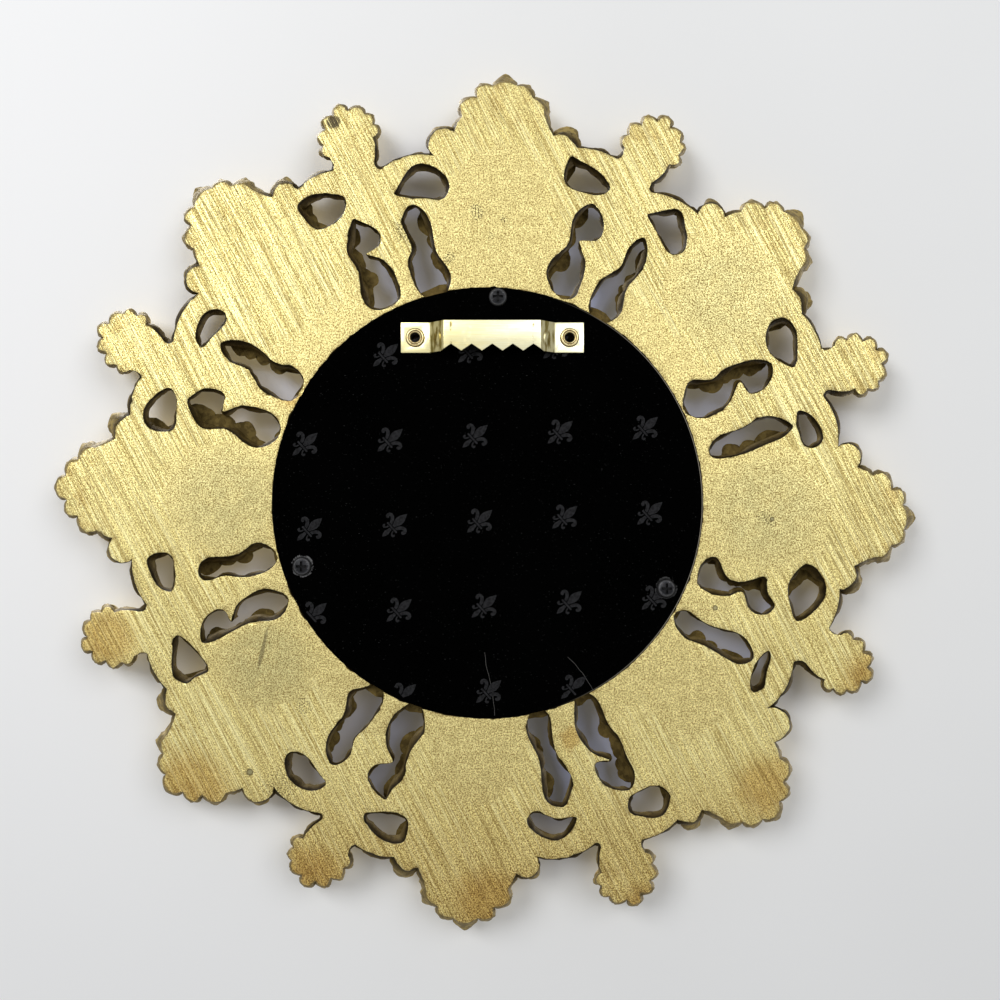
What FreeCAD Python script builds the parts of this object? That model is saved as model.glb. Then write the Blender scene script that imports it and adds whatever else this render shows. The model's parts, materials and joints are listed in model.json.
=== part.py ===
import FreeCAD, Part
import math
import os

# Round wall mirror in a cast frame of leaves and palmettes, hanging pose.
# +Z is up, the glass faces -Y, the flat back of the frame lies in the plane Y = 0.
# The origin is the centre of the round back panel, on that plane.
# Left and right in the names are as seen from behind, where the hanger is.

doc = FreeCAD.newDocument("OrnateMirror")
sheet = doc.addObject("Spreadsheet::Sheet", "Sizes")

# Driving dimensions in millimetres, angles in degrees
SIZES = (
    ("panel_margin", 11.3, "round back panel, how far it reaches past the glass"),
    ("panel_fit", 0.3, "gap between back panel and its recess"),
    ("panel_sink", 0.1, "how far the printed sheet lies below the flat back"),
    ("sheet_thickness", 0.3, "printed sheet on the back board"),
    ("board_thickness", 3.0, "back board"),
    ("cushion_thickness", 2.0, "soft disc behind the glass"),
    ("coat_thickness", 0.1, "silvering and its paint"),
    ("glass_thickness", 3.0, "mirror glass"),
    ("glass_radius", 63.5, "mirror glass, radius"),
    ("glass_bevel_width", 9.0, "width of the ground bevel"),
    ("glass_bevel_drop", 1.3, "how far the bevel falls"),
    ("glass_fit", 1.0, "gap between glass and its pocket"),
    ("glass_lap", 4.2, "how far the round moulding laps over the glass"),
    ("leaf_reach", 78.3, "from the back panel's edge to the reach of the leaves"),
    ("leaf_tilt", 2.1, "turn of the leaves against the hanger"),
    ("rim_depth", 8.9, "thickness of the casting at its rim"),
    ("leaf_crest_depth", 15.6, "leaf crest, measured from the back"),
    ("overleaf_root_depth", 12.4, "root of the small leaf that lies on the large one"),
    ("overleaf_crest_depth", 18.0, "small leaf's crest, measured from the back"),
    ("stem_crest_depth", 13.8, "palmette and stem crest, measured from the back"),
    ("relief_sink", 0.9, "how far the relief is sunk in the casting's front"),
    ("ring_width", 18.2, "round moulding, from the opening to its outer edge"),
    ("ring_crest_depth", 15.4, "round moulding's crest, measured from the back"),
    ("ring_lip_depth", 12.0, "round moulding at the opening, measured from the back"),
    ("ring_edge_depth", 9.5, "round moulding at its outer edge, measured from the back"),
    ("screw_radius", 1.7, "screw shank, radius"),
    ("screw_length", 11.0, "screw under its head"),
    ("screw_point", 2.5, "length of the screw's point"),
    ("screw_head_radius", 3.15, "screw head, radius"),
    ("screw_head_height", 2.0, "screw head"),
    ("screw_cross_width", 0.9, "width of a slot of the cross recess"),
    ("screw_cross_span", 3.6, "span of the cross recess"),
    ("screw_cross_depth", 1.4, "depth of the cross recess"),
    ("screw_fit", 0.05, "gap between screw and casting"),
    ("screw_clearance", 0.3, "gap between screw and board"),
    ("screw_top_turn", 2.9, "upper screw, clockwise from the top as seen from behind"),
    ("screw_top_margin", 8.1, "upper screw, how far past the glass"),
    ("screw_right_turn", 115.5, "lower right screw, clockwise from the top"),
    ("screw_right_margin", 5.3, "lower right screw, how far past the glass"),
    ("screw_left_turn", 251.2, "lower left screw, clockwise from the top"),
    ("screw_left_margin", 4.6, "lower left screw, how far past the glass"),
    ("hanger_length", 63.5, "sawtooth hanger, end to end"),
    ("hanger_width", 10.5, "sawtooth hanger, height of the strip"),
    ("hanger_sheet", 0.9, "sheet metal of the hanger"),
    ("hanger_rise", 4.6, "how far the toothed middle stands off"),
    ("hanger_foot", 10.2, "flat end of the hanger"),
    ("hanger_slope", 5.3, "sloped part of the hanger"),
    ("hanger_shift", -1.7, "hanger's centre, across from the mirror's middle"),
    ("hanger_drop", 17.4, "hanger's centre, below the panel's top"),
    ("tooth_pitch", 7.06, "pitch of the teeth"),
    ("tooth_depth", 2.4, "depth of the notches"),
    ("rivet_inset", 4.95, "from an end of the hanger to its rivet"),
    ("rivet_barrel_radius", 2.2, "tubular rivet, outside"),
    ("rivet_bore_radius", 1.6, "tubular rivet, inside"),
    ("rivet_head_radius", 3.3, "rolled rim of the rivet"),
    ("rivet_head_height", 0.9, "rolled rim of the rivet, height"),
    ("rivet_tail_radius", 2.9, "clinched tail of the rivet"),
    ("rivet_tail_height", 0.8, "clinched tail of the rivet, height"),
    ("rivet_fit", 0.1, "gap about the rivet's barrel"),
    ("washer_radius", 3.9, "washer under the clinched tail"),
    ("washer_thickness", 0.6, "washer under the clinched tail"),
    ("washer_clearance", 0.7, "room about the washer"),
    ("overrun", 1.0, "how far every cutting solid runs past"),
)
for row, (alias, value, words) in enumerate(SIZES, start=1):
    sheet.set(f"A{row}", words)
    sheet.set(f"B{row}", str(value))
    sheet.setAlias(f"B{row}", alias)
doc.recompute()


def size(alias):
    """The value of a named cell."""
    return float(sheet.get(alias))


def panel_radius():
    """The round back panel's radius."""
    return size("glass_radius") + size("panel_margin")


def sight_radius():
    """The radius of the opening in front of the glass."""
    return size("glass_radius") - size("glass_lap")


# A sector is 45 degrees: one leaf and one palmette. A turn share is an angle in
# sectors, measured from the leaf's middle, clockwise as seen from behind. A reach
# share runs from 0 at the back panel's edge to 1 at the reach of the leaves.
SECTORS = 8

# How each hand-carved sector departs from the common outline, in shares:
# leaf turn, leaf reach, heel reach, left bridge reach, palmette turn,
# palmette reach, right bridge reach, tip ground off, side lobe ground off
SECTOR_SHIFT_SHARES = (
    (0.004, 0.000, -0.028, 0.000, 0.010, 0.002, 0.000, 1.0, 1.0),
    (0.000, -0.006, 0.000, 0.003, 0.000, 0.003, 0.003, 1.1, 1.0),
    (-0.004, -0.006, -0.010, -0.017, -0.002, -0.016, -0.030, 1.0, 0.7),
    (0.003, 0.003, -0.045, 0.015, 0.002, 0.014, 0.025, 0.4, 0.5),
    (0.020, -0.006, 0.000, 0.000, 0.022, -0.005, 0.004, 0.9, 0.7),
    (0.022, 0.013, -0.010, 0.020, 0.020, 0.022, 0.018, 0.2, 0.8),
    (-0.002, 0.018, 0.012, 0.008, -0.005, 0.007, 0.008, 0.1, 1.1),
    (-0.003, 0.001, 0.000, 0.001, -0.004, -0.003, -0.006, 0.9, 0.3),
)

# Outline of one sector: every scallop starts at a notch and bulges to a crown.
# Rows: group, notch turn and reach, crown turn and reach on the flat back,
# then how far notch and crown flare out towards the front rim
OUTLINE_SHARES = (
    ("heel", -0.243, 0.632, -0.238, 0.714, 0.000, 0.042, -0.006, 0.048),
    ("leaf", -0.166, 0.708, -0.156, 0.742, 0.000, 0.043, -0.004, 0.048),
    ("leaf", -0.140, 0.770, -0.133, 0.833, -0.004, 0.045, -0.006, 0.052),
    ("leaf", -0.087, 0.852, -0.074, 0.903, 0.000, 0.047, -0.003, 0.055),
    ("tip", -0.036, 0.900, 0.003, 0.958, 0.000, 0.048, 0.000, 0.050),
    ("leaf", 0.040, 0.908, 0.076, 0.903, 0.000, 0.050, 0.003, 0.058),
    ("leaf", 0.092, 0.858, 0.125, 0.838, 0.004, 0.050, 0.018, 0.060),
    ("leaf", 0.140, 0.790, 0.155, 0.752, 0.010, 0.050, 0.008, 0.050),
    ("lobe", 0.175, 0.705, 0.235, 0.748, 0.000, 0.045, 0.018, 0.043),
    ("left bridge", 0.262, 0.672, 0.335, 0.685, 0.004, 0.042, 0.000, 0.048),
    ("head", 0.402, 0.676, 0.415, 0.703, 0.000, 0.042, 0.000, 0.042),
    ("head", 0.409, 0.730, 0.391, 0.763, 0.000, 0.042, -0.004, 0.045),
    ("head", 0.405, 0.798, 0.404, 0.842, 0.000, 0.045, -0.004, 0.050),
    ("head", 0.432, 0.862, 0.443, 0.907, 0.000, 0.047, -0.003, 0.053),
    ("head", 0.475, 0.902, 0.500, 0.940, 0.000, 0.048, 0.000, 0.055),
    ("head", 0.522, 0.902, 0.560, 0.900, 0.000, 0.048, 0.003, 0.053),
    ("head", 0.571, 0.866, 0.591, 0.846, 0.000, 0.047, 0.004, 0.048),
    ("head", 0.587, 0.808, 0.600, 0.775, 0.000, 0.045, 0.004, 0.045),
    ("head", 0.572, 0.748, 0.566, 0.700, 0.010, 0.043, 0.012, 0.042),
    ("head", 0.549, 0.648, 0.548, 0.622, 0.010, 0.040, 0.010, 0.040),
    ("right bridge", 0.565, 0.607, 0.645, 0.632, 0.005, 0.040, 0.000, 0.042),
)
GROUND_TIP_SHARE = 0.045

# Sixteen points round the hooked opening of each sector, on the flat back
HOOK_SHARES = (
    (
        (0.395, 0.452), (0.435, 0.420), (0.465, 0.365), (0.450, 0.305),
        (0.385, 0.278), (0.415, 0.235), (0.455, 0.180), (0.467, 0.100),
        (0.462, 0.035), (0.400, 0.012), (0.330, 0.035), (0.272, 0.100),
        (0.287, 0.175), (0.335, 0.245), (0.325, 0.350), (0.345, 0.420),
    ),
    (
        (0.385, 0.450), (0.430, 0.420), (0.458, 0.360), (0.445, 0.305),
        (0.385, 0.290), (0.420, 0.245), (0.465, 0.190), (0.483, 0.110),
        (0.455, 0.040), (0.380, 0.012), (0.305, 0.045), (0.262, 0.100),
        (0.310, 0.180), (0.300, 0.235), (0.308, 0.330), (0.340, 0.420),
    ),
    (
        (0.400, 0.402), (0.435, 0.380), (0.452, 0.340), (0.430, 0.285),
        (0.382, 0.245), (0.412, 0.200), (0.437, 0.160), (0.443, 0.110),
        (0.425, 0.050), (0.360, 0.030), (0.285, 0.042), (0.250, 0.085),
        (0.325, 0.150), (0.330, 0.240), (0.285, 0.325), (0.358, 0.362),
    ),
    (
        (0.375, 0.467), (0.425, 0.435), (0.463, 0.370), (0.445, 0.295),
        (0.390, 0.310), (0.430, 0.270), (0.465, 0.215), (0.482, 0.140),
        (0.450, 0.045), (0.380, -0.018), (0.325, 0.008), (0.303, 0.070),
        (0.315, 0.160), (0.302, 0.250), (0.312, 0.330), (0.325, 0.430),
    ),
    (
        (0.380, 0.438), (0.430, 0.420), (0.483, 0.360), (0.455, 0.300),
        (0.402, 0.270), (0.435, 0.235), (0.475, 0.180), (0.490, 0.100),
        (0.455, 0.030), (0.385, -0.018), (0.330, 0.025), (0.297, 0.100),
        (0.325, 0.170), (0.338, 0.250), (0.335, 0.340), (0.362, 0.390),
    ),
    (
        (0.380, 0.458), (0.430, 0.435), (0.472, 0.375), (0.452, 0.305),
        (0.405, 0.300), (0.440, 0.270), (0.480, 0.200), (0.488, 0.110),
        (0.455, 0.062), (0.390, 0.028), (0.340, 0.050), (0.315, 0.130),
        (0.345, 0.190), (0.360, 0.260), (0.358, 0.330), (0.362, 0.430),
    ),
    (
        (0.385, 0.452), (0.425, 0.420), (0.458, 0.360), (0.445, 0.305),
        (0.378, 0.290), (0.410, 0.250), (0.445, 0.190), (0.458, 0.120),
        (0.440, 0.050), (0.360, 0.018), (0.290, 0.045), (0.250, 0.120),
        (0.285, 0.200), (0.300, 0.275), (0.278, 0.345), (0.330, 0.425),
    ),
    (
        (0.398, 0.437), (0.430, 0.400), (0.468, 0.335), (0.440, 0.285),
        (0.378, 0.275), (0.425, 0.235), (0.455, 0.180), (0.465, 0.105),
        (0.440, 0.035), (0.350, 0.018), (0.285, 0.035), (0.252, 0.090),
        (0.285, 0.175), (0.305, 0.235), (0.300, 0.310), (0.350, 0.395),
    ),
)

# Twelve points round the plain opening of each sector, on the flat back
PLAIN_SHARES = (
    (
        (0.642, 0.410), (0.672, 0.375), (0.700, 0.285), (0.690, 0.175),
        (0.732, 0.075), (0.705, 0.010), (0.645, -0.018), (0.575, 0.008),
        (0.543, 0.095), (0.565, 0.180), (0.605, 0.250), (0.600, 0.360),
    ),
    (
        (0.650, 0.435), (0.672, 0.400), (0.690, 0.315), (0.712, 0.215),
        (0.716, 0.120), (0.705, 0.075), (0.670, 0.055), (0.620, 0.075),
        (0.590, 0.140), (0.588, 0.220), (0.567, 0.300), (0.585, 0.385),
    ),
    (
        (0.645, 0.410), (0.678, 0.375), (0.690, 0.290), (0.700, 0.180),
        (0.717, 0.105), (0.690, 0.045), (0.635, 0.012), (0.585, 0.045),
        (0.587, 0.100), (0.590, 0.190), (0.563, 0.300), (0.585, 0.375),
    ),
    (
        (0.655, 0.435), (0.707, 0.390), (0.705, 0.270), (0.708, 0.180),
        (0.738, 0.085), (0.710, 0.010), (0.655, -0.018), (0.602, 0.010),
        (0.603, 0.100), (0.602, 0.230), (0.573, 0.335), (0.605, 0.400),
    ),
    (
        (0.650, 0.395), (0.690, 0.360), (0.720, 0.280), (0.718, 0.170),
        (0.757, 0.080), (0.700, 0.025), (0.645, -0.018), (0.585, 0.012),
        (0.570, 0.100), (0.585, 0.185), (0.605, 0.245), (0.590, 0.330),
    ),
    (
        (0.655, 0.367), (0.700, 0.335), (0.700, 0.250), (0.700, 0.165),
        (0.737, 0.095), (0.700, 0.030), (0.630, 0.008), (0.585, 0.040),
        (0.567, 0.110), (0.585, 0.200), (0.610, 0.265), (0.612, 0.345),
    ),
    (
        (0.650, 0.422), (0.678, 0.390), (0.710, 0.275), (0.700, 0.170),
        (0.733, 0.080), (0.700, 0.025), (0.630, 0.010), (0.565, 0.030),
        (0.540, 0.100), (0.555, 0.190), (0.600, 0.260), (0.595, 0.365),
    ),
    (
        (0.650, 0.408), (0.680, 0.375), (0.700, 0.275), (0.700, 0.180),
        (0.750, 0.080), (0.725, 0.012), (0.645, -0.018), (0.570, 0.008),
        (0.540, 0.095), (0.550, 0.170), (0.590, 0.235), (0.575, 0.350),
    ),
)

# Eight points round the outer opening left of each stem, on the flat back
OUTER_LEFT_SHARES = (
    (
        (0.262, 0.632), (0.325, 0.612), (0.390, 0.585), (0.425, 0.535),
        (0.400, 0.502), (0.335, 0.488), (0.268, 0.497), (0.243, 0.580),
    ),
    (
        (0.255, 0.610), (0.300, 0.617), (0.365, 0.585), (0.421, 0.530),
        (0.395, 0.500), (0.330, 0.465), (0.260, 0.490), (0.230, 0.555),
    ),
    (
        (0.245, 0.585), (0.300, 0.602), (0.360, 0.575), (0.417, 0.515),
        (0.370, 0.465), (0.290, 0.430), (0.225, 0.455), (0.195, 0.490),
    ),
    (
        (0.265, 0.610), (0.315, 0.637), (0.375, 0.595), (0.405, 0.555),
        (0.395, 0.515), (0.315, 0.492), (0.265, 0.510), (0.242, 0.580),
    ),
    (
        (0.270, 0.605), (0.320, 0.617), (0.380, 0.595), (0.433, 0.530),
        (0.395, 0.505), (0.345, 0.485), (0.268, 0.497), (0.257, 0.550),
    ),
    (
        (0.270, 0.615), (0.315, 0.637), (0.385, 0.600), (0.441, 0.545),
        (0.400, 0.510), (0.335, 0.490), (0.262, 0.495), (0.268, 0.555),
    ),
    (
        (0.245, 0.610), (0.285, 0.628), (0.350, 0.600), (0.395, 0.540),
        (0.375, 0.510), (0.320, 0.485), (0.250, 0.478), (0.225, 0.550),
    ),
    (
        (0.238, 0.620), (0.300, 0.620), (0.350, 0.590), (0.397, 0.540),
        (0.370, 0.485), (0.310, 0.463), (0.245, 0.475), (0.223, 0.550),
    ),
)

# Eight points round the outer opening right of each stem, on the flat back
OUTER_RIGHT_SHARES = (
    (
        (0.600, 0.515), (0.650, 0.570), (0.695, 0.600), (0.745, 0.555),
        (0.795, 0.460), (0.765, 0.420), (0.705, 0.435), (0.645, 0.475),
    ),
    (
        (0.587, 0.495), (0.610, 0.530), (0.660, 0.560), (0.720, 0.560),
        (0.740, 0.520), (0.725, 0.475), (0.680, 0.463), (0.625, 0.465),
    ),
    (
        (0.572, 0.465), (0.605, 0.485), (0.655, 0.500), (0.705, 0.520),
        (0.742, 0.490), (0.720, 0.460), (0.675, 0.440), (0.605, 0.438),
    ),
    (
        (0.602, 0.505), (0.635, 0.550), (0.690, 0.577), (0.740, 0.555),
        (0.795, 0.460), (0.765, 0.432), (0.720, 0.452), (0.655, 0.485),
    ),
    (
        (0.617, 0.495), (0.645, 0.540), (0.700, 0.562), (0.755, 0.550),
        (0.810, 0.465), (0.775, 0.432), (0.710, 0.437), (0.650, 0.465),
    ),
    (
        (0.607, 0.515), (0.645, 0.560), (0.690, 0.575), (0.745, 0.578),
        (0.763, 0.520), (0.745, 0.470), (0.700, 0.463), (0.635, 0.478),
    ),
    (
        (0.587, 0.500), (0.615, 0.540), (0.665, 0.560), (0.710, 0.558),
        (0.752, 0.490), (0.735, 0.463), (0.690, 0.460), (0.620, 0.477),
    ),
    (
        (0.582, 0.485), (0.635, 0.545), (0.685, 0.583), (0.735, 0.570),
        (0.800, 0.455), (0.770, 0.412), (0.700, 0.427), (0.620, 0.450),
    ),
)

# How far each opening's points move from the flat back to the casting's front
HOOK_FLARE_SHARES = (
    (0.000, 0.030), (0.000, 0.028), (0.004, 0.022), (0.000, 0.012),
    (0.000, 0.012), (0.000, 0.012), (-0.008, 0.012), (-0.012, 0.008),
    (-0.010, 0.008), (0.000, 0.006), (0.010, 0.010), (0.018, 0.012),
    (0.020, 0.010), (0.015, 0.012), (0.020, 0.015), (0.015, 0.022),
)
PLAIN_FLARE_SHARES = (
    (0.000, 0.028), (-0.010, 0.020), (-0.015, 0.012), (-0.015, 0.010),
    (-0.012, 0.008), (-0.010, 0.006), (0.000, 0.006), (0.006, 0.008),
    (0.006, 0.010), (0.004, 0.012), (0.000, 0.014), (0.006, 0.022),
)
OUTER_LEFT_FLARE_SHARES = (
    (0.010, 0.012), (0.000, 0.018), (0.000, 0.020), (-0.004, 0.024),
    (0.000, 0.028), (0.000, 0.032), (0.012, 0.028), (0.016, 0.022),
)
OUTER_RIGHT_FLARE_SHARES = (
    (0.004, 0.026), (0.000, 0.020), (0.000, 0.012), (-0.006, 0.014),
    (-0.010, 0.024), (0.000, 0.032), (0.000, 0.030), (0.000, 0.028),
)

# Lower lobes of the leaf in front, down to the round moulding: crown and next
# notch of each, first down the right side, then along the moulding and up the left
LEAF_HEM_SHARES = (
    (0.276, 0.630), (0.262, 0.545),
    (0.300, 0.500), (0.335, 0.485),
    (0.385, 0.445), (0.348, 0.362),
    (0.368, 0.305), (0.350, 0.255),
    (0.374, 0.195), (0.325, 0.152),
    (0.298, 0.105), (0.268, 0.030),
    (0.000, 0.010), (-0.262, 0.030),
    (-0.292, 0.105), (-0.320, 0.145),
    (-0.352, 0.190), (-0.322, 0.225),
    (-0.343, 0.265), (-0.322, 0.300),
    (-0.365, 0.370), (-0.325, 0.430),
    (-0.270, 0.440), (-0.215, 0.475),
    (-0.222, 0.560),
)
# Sides of the stem in front, in the same order
STEM_HEM_SHARES = (
    (0.555, 0.720), (0.541, 0.630),
    (0.566, 0.450), (0.562, 0.300),
    (0.535, 0.150), (0.530, 0.010),
    (0.508, 0.014), (0.486, 0.010),
    (0.484, 0.150), (0.468, 0.270),
    (0.486, 0.450), (0.470, 0.630),
    (0.440, 0.720),
)
# How the foot of a relief shrinks to its crest: width, then lowest and highest reach
LEAF_CREST_SHARES = (0.26, 0.13, 0.78)
OVERLEAF_CREST_SHARES = (0.20, 0.06, 0.77)
STEM_CREST_SHARES = (0.28, 0.03, 0.92)
STEM_AXIS_SHARE = 0.51
RELIEF_INSET_SHARES = (0.025, 0.008)
CREST_SCALLOP_SHARE = 0.4
# How far the shoulder of a relief lies from foot to crest: inwards, then up
SHOULDER_SHARES = (0.22, 0.56)
# How far a foot is drawn in, and the reach about which it is drawn in
WHOLE_SHARES = (1, 0)
OVERLEAF_SHRINK_SHARES = (0.56, 0.36)
# First row of the outline that each relief follows, and the row after its last
LEAF_ROWS = (0, 9)
STEM_ROWS = (11, 18)


def spot(sector, turn_share, reach_share, depth):
    """A point at a sector's turn and reach, this deep behind the flat back."""
    angle = math.radians(size("leaf_tilt")) + math.tau / SECTORS * (sector + turn_share)
    radius = panel_radius() + size("leaf_reach") * reach_share
    return FreeCAD.Vector(-radius * math.sin(angle), -depth, radius * math.cos(angle))


def sector_outline(sector, front):
    """Notches and crowns of a sector's outer outline as turn and reach shares."""
    shift = SECTOR_SHIFT_SHARES[sector]
    leaf_turn, leaf_reach, heel_reach, left_reach, head_turn, head_reach, right_reach = shift[:7]
    tip_cut, lobe_cut = shift[7:]
    moves = {
        "heel": (leaf_turn, heel_reach),
        "leaf": (leaf_turn, leaf_reach),
        "tip": (leaf_turn, leaf_reach),
        "lobe": (leaf_turn, leaf_reach),
        "left bridge": (leaf_turn, left_reach),
        "head": (head_turn, head_reach),
        "right bridge": (head_turn, right_reach),
    }
    cuts = {"tip": tip_cut * GROUND_TIP_SHARE, "lobe": lobe_cut * GROUND_TIP_SHARE}
    points = []
    for group, *shares in OUTLINE_SHARES:
        turn, reach = moves[group]
        crown_turn, crown_reach = moves["leaf"] if group == "heel" else moves[group]
        notch = (shares[0] + turn, shares[1] + reach)
        crown = (shares[2] + crown_turn, shares[3] + crown_reach)
        if front:
            notch = (notch[0] + shares[4], notch[1] + shares[5])
            crown = (crown[0] + shares[6], crown[1] + shares[7])
        else:
            crown = (crown[0], crown[1] - cuts.get(group, 0.0))
        points += [notch, crown]
    return points


def arcs(points):
    """Three-point arcs through a closed ring of notch, crown, notch, crown."""
    ring = points + points[:1]
    return [
        Part.Arc(*ring[i:i + 3]).toShape()
        for i in range(0, len(points), 2)
    ]


def rim_edges(front, depth):
    """The casting's whole outer outline at one depth."""
    points = []
    for sector in range(SECTORS):
        for turn, reach in sector_outline(sector, front):
            points.append(spot(sector, turn, reach, depth))
    return arcs(points)


def opening_edges(sector, shares, flares, depth_share):
    """One smooth closed curve round an opening, this far from the back to the front."""
    flat = [spot(sector, turn, reach, 0) for turn, reach in shares[sector]]
    knots = [0]
    for start, end in zip(flat, flat[1:] + flat[:1]):
        knots.append(knots[-1] + start.distanceToPoint(end))
    points = [
        spot(
            sector, turn + flare_turn * depth_share, reach + flare_reach * depth_share,
            size("rim_depth") * depth_share,
        )
        for (turn, reach), (flare_turn, flare_reach) in zip(shares[sector], flares)
    ]
    curve = Part.BSplineCurve()
    curve.interpolate(Points=points, PeriodicFlag=True, Parameters=knots)
    return [curve.toShape()]


def flat_face(loops):
    """A flat face bounded by the first loop, with the others as openings."""
    wires = Part.makeCompound([Part.Wire(edges) for edges in loops])
    return Part.makeFace(wires, "Part::FaceMakerBullseye")


def ruled_solid(*levels):
    """A solid between flat faces at the first and last level; all loops match edge for edge."""
    faces = [flat_face(levels[0]), flat_face(levels[-1])]
    for low_loops, high_loops in zip(levels, levels[1:]):
        for low_edges, high_edges in zip(low_loops, high_loops):
            for low, high in zip(low_edges, high_edges):
                faces.append(Part.makeRuledSurface(low, high))
    shell = Part.makeShell(faces)
    shell.sewShape()
    solid = Part.Solid(shell)
    if solid.Volume < 0:
        solid.reverse()
    return solid


def casting_slab():
    """The casting's body: scalloped, flared and pierced, flat on both sides."""
    low, high = [rim_edges(False, 0.0)], [rim_edges(True, size("rim_depth"))]
    for shares, flares in (
        (HOOK_SHARES, HOOK_FLARE_SHARES),
        (PLAIN_SHARES, PLAIN_FLARE_SHARES),
        (OUTER_LEFT_SHARES, OUTER_LEFT_FLARE_SHARES),
        (OUTER_RIGHT_SHARES, OUTER_RIGHT_FLARE_SHARES),
    ):
        for sector in range(SECTORS):
            low.append(opening_edges(sector, shares, flares, 0))
            high.append(opening_edges(sector, shares, flares, 1))
    return ruled_solid(low, high)


def crest_points(foot, axis_share, crest_shares):
    """The foot's points drawn in to the crest, with each scallop less bold."""
    width_share, low_share, high_share = crest_shares
    drawn = [
        (
            axis_share + (turn - axis_share) * width_share,
            low_share + (high_share - low_share) * reach,
        )
        for turn, reach in foot
    ]
    notches = drawn[::2] + drawn[:1]
    crest = []
    for index, crown in enumerate(drawn[1::2]):
        before, after = notches[index], notches[index + 1]
        middle = [(a + b) / 2 for a, b in zip(before, after)]
        soft = tuple(m + (c - m) * CREST_SCALLOP_SHARE for c, m in zip(crown, middle))
        crest += [before, soft]
    return crest


def relief(sector, rows, hem_shares, turn, axis_share, crest_shares, depths, shrink=WHOLE_SHARES):
    """A mound that narrows from its scalloped foot, over a shoulder, to a flat crest."""
    foot_depth, crest_depth = depths
    shrink_share, middle_reach = shrink
    first, last = rows
    rim = sector_outline(sector, True)[2 * first:2 * last + 1]
    hem = [(share + turn, reach) for share, reach in hem_shares]
    axis = turn + axis_share
    side_inset, reach_inset = RELIEF_INSET_SHARES
    foot = [
        (
            axis + (spread - axis) * (1 - side_inset) * shrink_share,
            middle_reach + (reach - reach_inset - middle_reach) * shrink_share,
        )
        for spread, reach in rim + hem
    ]
    crest = crest_points(foot, axis, crest_shares)
    inward_share, upward_share = SHOULDER_SHARES
    shoulder = [
        tuple(low + (high - low) * inward_share for low, high in zip(below, above))
        for below, above in zip(foot, crest)
    ]
    shoulder_depth = foot_depth + (crest_depth - foot_depth) * upward_share
    levels = ((foot, foot_depth), (shoulder, shoulder_depth), (crest, crest_depth))
    return ruled_solid(*(
        [arcs([spot(sector, *point, depth) for point in points])]
        for points, depth in levels
    ))


def relief_root():
    """The depth at which the reliefs are sunk in the casting's front."""
    return size("rim_depth") - size("relief_sink")


def leaf_relief(sector):
    """The front of one large leaf."""
    turn = SECTOR_SHIFT_SHARES[sector][0]
    depths = (relief_root(), size("leaf_crest_depth"))
    return relief(sector, LEAF_ROWS, LEAF_HEM_SHARES, turn, 0, LEAF_CREST_SHARES, depths)


def overleaf_relief(sector):
    """The small leaf that lies on a large one, of the same outline."""
    turn = SECTOR_SHIFT_SHARES[sector][0]
    depths = (size("overleaf_root_depth"), size("overleaf_crest_depth"))
    return relief(
        sector, LEAF_ROWS, LEAF_HEM_SHARES, turn, 0, OVERLEAF_CREST_SHARES, depths,
        OVERLEAF_SHRINK_SHARES,
    )


def stem_relief(sector):
    """The front of one palmette and its stem."""
    turn = SECTOR_SHIFT_SHARES[sector][4]
    depths = (relief_root(), size("stem_crest_depth"))
    return relief(
        sector, STEM_ROWS, STEM_HEM_SHARES, turn, STEM_AXIS_SHARE, STEM_CREST_SHARES, depths,
    )


def ring_moulding():
    """The round moulding about the opening, turned about the mirror's axis."""
    inner, width = sight_radius(), size("ring_width")
    lip, crest, edge = size("ring_lip_depth"), size("ring_crest_depth"), size("ring_edge_depth")
    root = size("rim_depth") / 2

    def station(width_share, depth):
        return FreeCAD.Vector(inner + width * width_share, -depth, 0)

    cove_mid_share, cove_end_share, bead_mid_share, bead_end_share = 0.09, 0.18, 0.42, 0.70
    cove_rise_share, bead_rise_share, ogee_mid_share, ogee_rise_share = 0.30, 0.62, 0.90, 0.62
    cove_mid = station(cove_mid_share, lip + (crest - lip) * cove_rise_share / 2)
    cove_end = station(cove_end_share, lip + (crest - lip) * bead_rise_share)
    bead_mid = station(bead_mid_share, crest)
    bead_end = station(bead_end_share, lip + (crest - lip) * bead_rise_share)
    ogee_mid = station(ogee_mid_share, edge + (crest - edge) * cove_rise_share)
    edges = [
        Part.makeLine(station(0, root), station(0, lip)),
        Part.Arc(station(0, lip), cove_mid, cove_end).toShape(),
        Part.Arc(cove_end, bead_mid, bead_end).toShape(),
        Part.Arc(bead_end, ogee_mid, station(1, edge)).toShape(),
        Part.makeLine(station(1, edge), station(1, root)),
        Part.makeLine(station(1, root), station(0, root)),
    ]
    face = Part.Face(Part.Wire(edges))
    return face.revolve(FreeCAD.Vector(0, 0, 0), FreeCAD.Vector(0, 1, 0), 360)


def shaped(name, shape):
    """A document object that holds a shape worked out above."""
    piece = doc.addObject("Part::Feature", name)
    piece.Shape = shape
    return piece


# Round solids stand on the back plane and run towards the glass
FACING = FreeCAD.Rotation(FreeCAD.Vector(1, 0, 0), 90)


def round_bar(name, radius, length, depth="0", across="0", up="0"):
    """A cylinder along the mirror's axis, its sizes bound to the sheet."""
    bar = doc.addObject("Part::Cylinder", name)
    bar.Placement = FreeCAD.Placement(FreeCAD.Vector(0, 0, 0), FACING)
    bar.setExpression("Radius", radius)
    bar.setExpression("Height", length)
    bar.setExpression("Placement.Base.x", across)
    bar.setExpression("Placement.Base.y", f"-({depth})")
    bar.setExpression("Placement.Base.z", up)
    return bar


def joined(name, pieces):
    """Several solids joined in one, with their faces left as they are."""
    fuse = doc.addObject("Part::MultiFuse", name)
    fuse.Shapes = pieces
    fuse.Refine = False
    return fuse


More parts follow.
